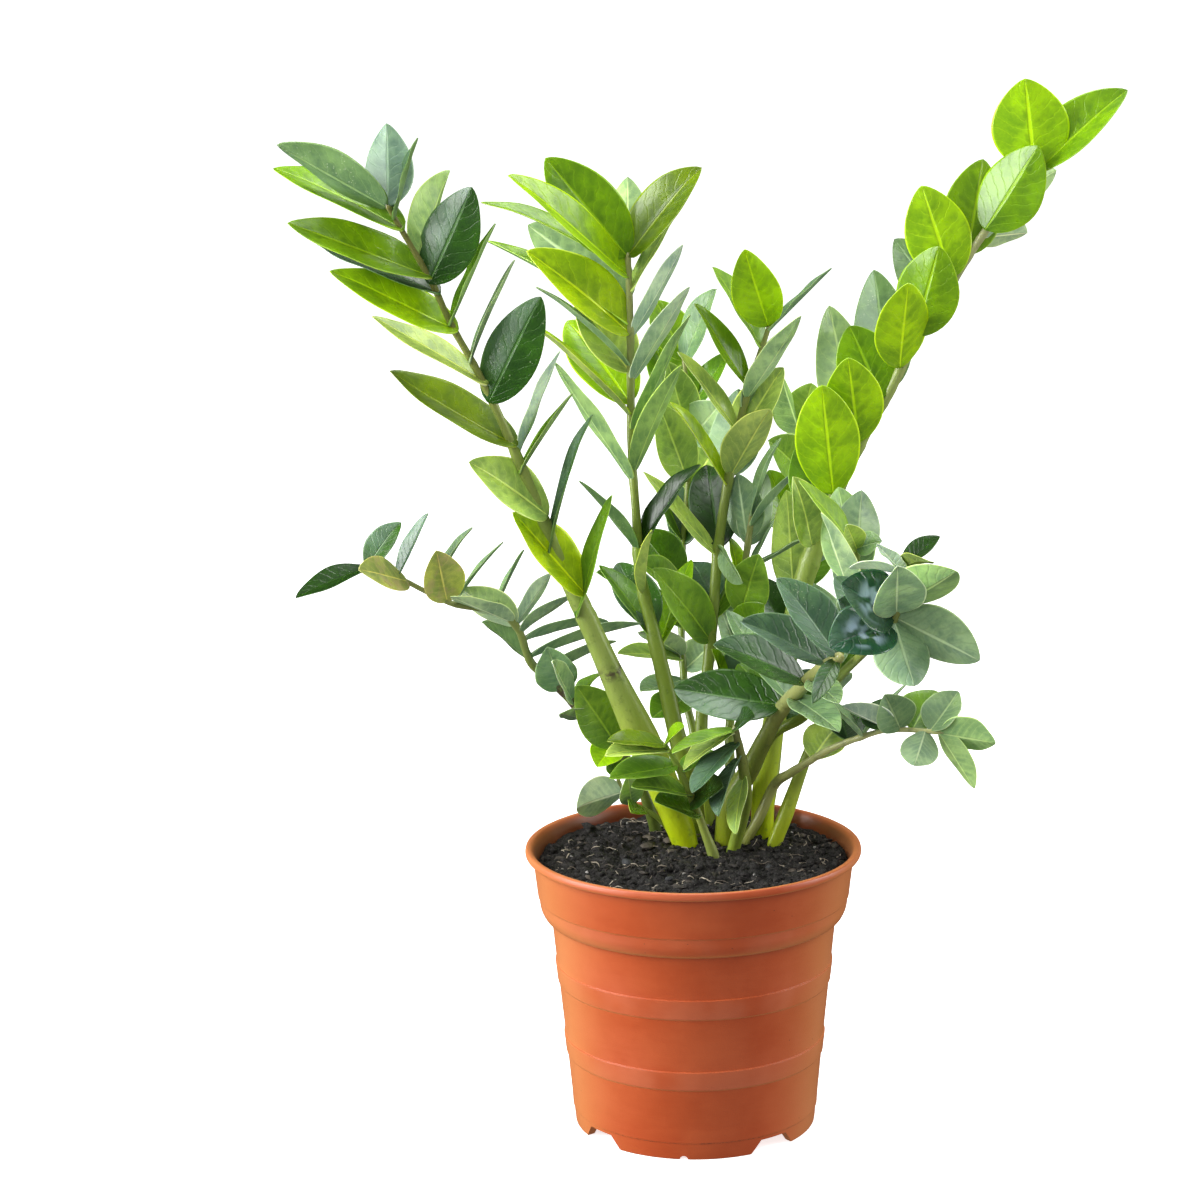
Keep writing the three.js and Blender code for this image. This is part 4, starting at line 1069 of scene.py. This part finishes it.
def add_stalk(surface, name, points):
    last = len(points) - 1
    brown_from, brown_to = BROWN_STALKS.get(name, (0, 0))
    rings = []
    count = STALK_STEPS * last
    for step in range(count + 1):
        share = step / count
        place = share * last
        centre = stalk_point(points, share)
        along = stalk_heading(points, share)
        side = along.cross(Vector((0, 1, 0))).normalized()
        back = along.cross(side)
        radius = stalk_radius(name, place)
        for leaflet in LEAFLETS[name]:
            radius *= 1 + NODE_SWELL * math.exp(-(((place - leaflet[0] + 0.05) / 0.10) ** 2))
        radius *= 1 + 0.03 * noise.noise(centre * 0.09)
        if share == 1.0:
            radius *= TIP_SHRINK
        rise = min(max((centre.z - SOIL_LEVEL) / (points[last].z - SOIL_LEVEL), 0.0), 1.0)
        colour = stalk_colour(name, rise)
        inside = smooth_step(brown_from - 0.06, brown_from + 0.06, place)
        brown = inside * smooth_step(brown_to + 0.06, brown_to - 0.06, place) if brown_to else 0.0
        ring = []
        for a, b in circle(STALK_SIDES):
            offset = side * a + back * b
            ring.append(surface.add(centre + offset * radius, tone=colour, brown=brown))
        rings.append(ring)
    surface.add_rings(rings)


# Where a leaflet has its points: shares of its length, and of its half width.
LEAF_ROWS = [0.0, 0.03, 0.065, 0.11, 0.17, 0.24, 0.31, 0.38, 0.45, 0.52, 0.59, 0.66, 0.73,
             0.80, 0.86, 0.91, 0.95, 0.98, 1.0]
LEAF_COLUMNS = [-1.0, -0.92, -0.75, -0.55, -0.35, -0.18, -0.07, 0.0, 0.07, 0.18, 0.35, 0.55,
                0.75, 0.92, 1.0]


def half_width(width, share):
    """Half of a leaflet's width: a rounded base, a broad middle and a short blunt point."""
    power = 0.60 if share < 0.45 else 0.68
    oval = max(math.sin(math.pi * share ** 0.88), 0.0) ** power
    return max(0.5 * width * oval, 0.9 * smooth_step(0.4, 0.0, share), 0.12)


def blade_thickness(row, reach, under):
    """Thicker along the midrib of the underside, and where the leaflet leaves the stalk."""
    thickness = blend(MIDDLE_THICKNESS, EDGE_THICKNESS, reach ** 2)
    if under:
        thickness += MIDRIB_THICKNESS * max(0.0, 1 - reach / 0.12)
    return blend(ROOT_THICKNESS, thickness, smooth_step(0.0, 0.12, row))


def add_leaflet(surface, name, points, leaflet, seed):
    place, x, y, z, width, turn, tone = leaflet
    draw = random.Random(seed)
    share = place / (len(points) - 1)
    root = stalk_point(points, share)
    heading = stalk_heading(points, share)
    tip = Vector((x, y, z))
    outward = tip - root
    outward = (outward - heading * outward.dot(heading)).normalized()
    radius = stalk_radius(name, place)
    if name in CLASPING and abs(turn) < CLASPING_TURN:
        root += (FRONT * ROOT_IN_FRONT + outward * CLASPING[name]) * radius
        tip += FRONT * TIP_IN_FRONT * radius
    else:
        root += outward * ROOT_OFFSET * radius
    along = tip - root
    length = along.length
    along.normalize()
    facing = (FRONT - along * along.dot(FRONT)).normalized()
    normal = Matrix.Rotation(math.radians(turn), 3, along) @ facing
    across = normal.cross(along)
    arch = blend(LEAST_ARCH, MOST_ARCH, wobble(seed)) * length
    fold = blend(LEAST_FOLD, MOST_FOLD, wobble(seed + 0.5))
    if name in CLASPING and abs(turn) < FRONT_TURN:
        fold *= BACK_FOLD

    twist = draw.uniform(-MOST_TWIST, MOST_TWIST)
    ripple = draw.uniform(0.15, 0.55)
    ripples = draw.uniform(1.2, 2.4)
    phase = draw.uniform(0, 2 * math.pi)
    curl = draw.uniform(-0.01, 0.03) * length
    brightness = draw.uniform(0.94, 1.06)
    warmth = draw.uniform(0.95, 1.05)
    shades = []
    for red, green, blue in TONES[tone]:
        shades.append((red * brightness * warmth, green * brightness, blue * brightness))
    specks = SPECKS.get(tone, FEWEST_SPECKS) * draw.uniform(0.4, 1.0)
    # The painted sheen lies on the half of the leaflet towards -X.
    painted_sheen_side = 1 if across.x < 0 else -1
    painted_sheen_strength = PAINTED_SHEEN.get(tone, 0.0) * draw.uniform(0.5, 1.0)
    marks = {"specks": specks, "puckered": PUCKERED.get(name, LEAST_PUCKERED)}
    marks["brown"] = 1.0 if tone == "b" else 0.0
    marks["shiny"] = 1.0 if tone == "q" else 0.0

    rings = []
    for row in LEAF_ROWS:
        half = half_width(width, row)
        sway = twist * (row - 0.4)
        sideways = across * math.cos(sway) + normal * math.sin(sway)
        up = normal * math.cos(sway) - across * math.sin(sway)
        centre = root + along * (row * length) + normal * (4 * arch * row * (1 - row))
        centre -= normal * (curl * smooth_step(0.65, 1.0, row) ** 2)
        ring = []
        for under, columns in ((1, LEAF_COLUMNS), (0, reversed(LEAF_COLUMNS))):
            for column in columns:
                reach = abs(column)
                lift = fold * half * (math.sqrt(reach * reach + 0.006) - 0.077) * (1 - 0.15 * reach)
                wave = ripple * reach * reach * math.sin(2 * math.pi * ripples * row + phase + column)
                lift += wave * min(1.0, half / 6)
                lift += blade_thickness(row, reach, under) * (0.5 - under)
                point = centre + sideways * (column * half) + up * lift
                marks["bloom"] = painted_sheen_strength * smooth_step(-0.15, 0.25, column * painted_sheen_side)
                marks["bloom"] *= smooth_step(0.05, 0.45, row)
                spot = {"along": row, "across": column, "under": float(under)}
                ring.append(surface.add(point, tone=shades[under], **spot, **marks))
        rings.append(ring)
    surface.add_rings(rings)


def make_fronds():
    leaf = leaf_material()
    stalk = stalk_material()
    for number, name in enumerate(STALKS):
        points = [Vector(p[:3]) for p in STALKS[name]]
        stem = Surface()
        add_stalk(stem, name, points)
        stem.piece(name + "_stalk", stalk, [name])
        blades = Surface()
        for index, leaflet in enumerate(LEAFLETS[name]):
            add_leaflet(blades, name, points, leaflet, SEEDS_PER_FROND * number + index)
        blades.piece(name + "_leaflets", leaf, [name])


# ---- camera, lights and floor


def make_camera():
    """The photograph's viewpoint, worked out from the pot's rings and height."""
    yaw, pitch, roll = (math.radians(a) for a in (CAMERA_YAW, CAMERA_PITCH, CAMERA_ROLL))
    forward = Vector((math.sin(yaw) * math.cos(pitch), math.cos(yaw) * math.cos(pitch), -math.sin(pitch)))
    level = Vector((math.cos(yaw), -math.sin(yaw), 0))
    upright = level.cross(forward)
    right = level * math.cos(roll) + upright * math.sin(roll)
    up = upright * math.cos(roll) - level * math.sin(roll)
    data = bpy.data.cameras.new("camera")
    data.sensor_width = SENSOR_WIDTH
    data.lens = SENSOR_WIDTH * CAMERA_FOCAL / PHOTO_WIDTH
    data.clip_end = 200
    camera = bpy.data.objects.new("camera", data)
    bpy.context.scene.collection.objects.link(camera)
    frame_matrix = Matrix((right, up, -forward)).transposed().to_4x4()
    frame_matrix.translation = Vector(CAMERA_PLACE)
    camera.matrix_world = frame_matrix
    bpy.context.scene.camera = camera
    bpy.context.scene.view_settings.view_transform = "Standard"


def add_area_light(name, place, target, size, power):
    data = bpy.data.lights.new(name, "AREA")
    data.shape = "RECTANGLE"
    data.size, data.size_y = size
    data.energy = power
    light = bpy.data.objects.new(name, data)
    bpy.context.scene.collection.objects.link(light)
    light.location = place
    light.rotation_euler = (Vector(target) - Vector(place)).to_track_quat("-Z", "Y").to_euler()
    return light


def make_stage():
    """A pale floor that neither lights the plant nor shows in it, a pale world and softboxes."""
    floor = Surface()
    floor.faces.append(tuple(floor.add_circle(FLOOR_REACH, 0, 64)))
    ground = plain_object("floor", floor.points, floor.faces)
    ground.data.materials.append(floor_material())
    ground.visible_diffuse = False
    ground.visible_glossy = False

    world = bpy.data.worlds.new("studio")
    bpy.context.scene.world = world
    world.use_nodes = True
    background = world.node_tree.nodes["Background"]
    background.inputs["Color"].default_value = rgb(1, 1, 1)
    background.inputs["Strength"].default_value = WORLD_STRENGTH
    world.cycles_visibility.glossy = False
    add_area_light("left_softbox", (-1.5, -0.4, 0.8), (0, 0, 0.25), (1.1, 1.6), 56)
    add_area_light("right_softbox", (1.6, 0.1, 0.8), (0, 0, 0.25), (0.7, 1.4), 19)
    add_area_light("top_softbox", (0.1, 0.3, 1.9), (0, 0, 0.3), (1.2, 1.2), 22)
    fill = add_area_light("front_softbox", (-0.5, -2.2, 1.5), (0, 0, 0.25), (1.2, 1.0), 16)
    fill.visible_glossy = False


make_pot()
make_soil()
make_soil_cover()
make_fronds()
make_camera()
make_stage()
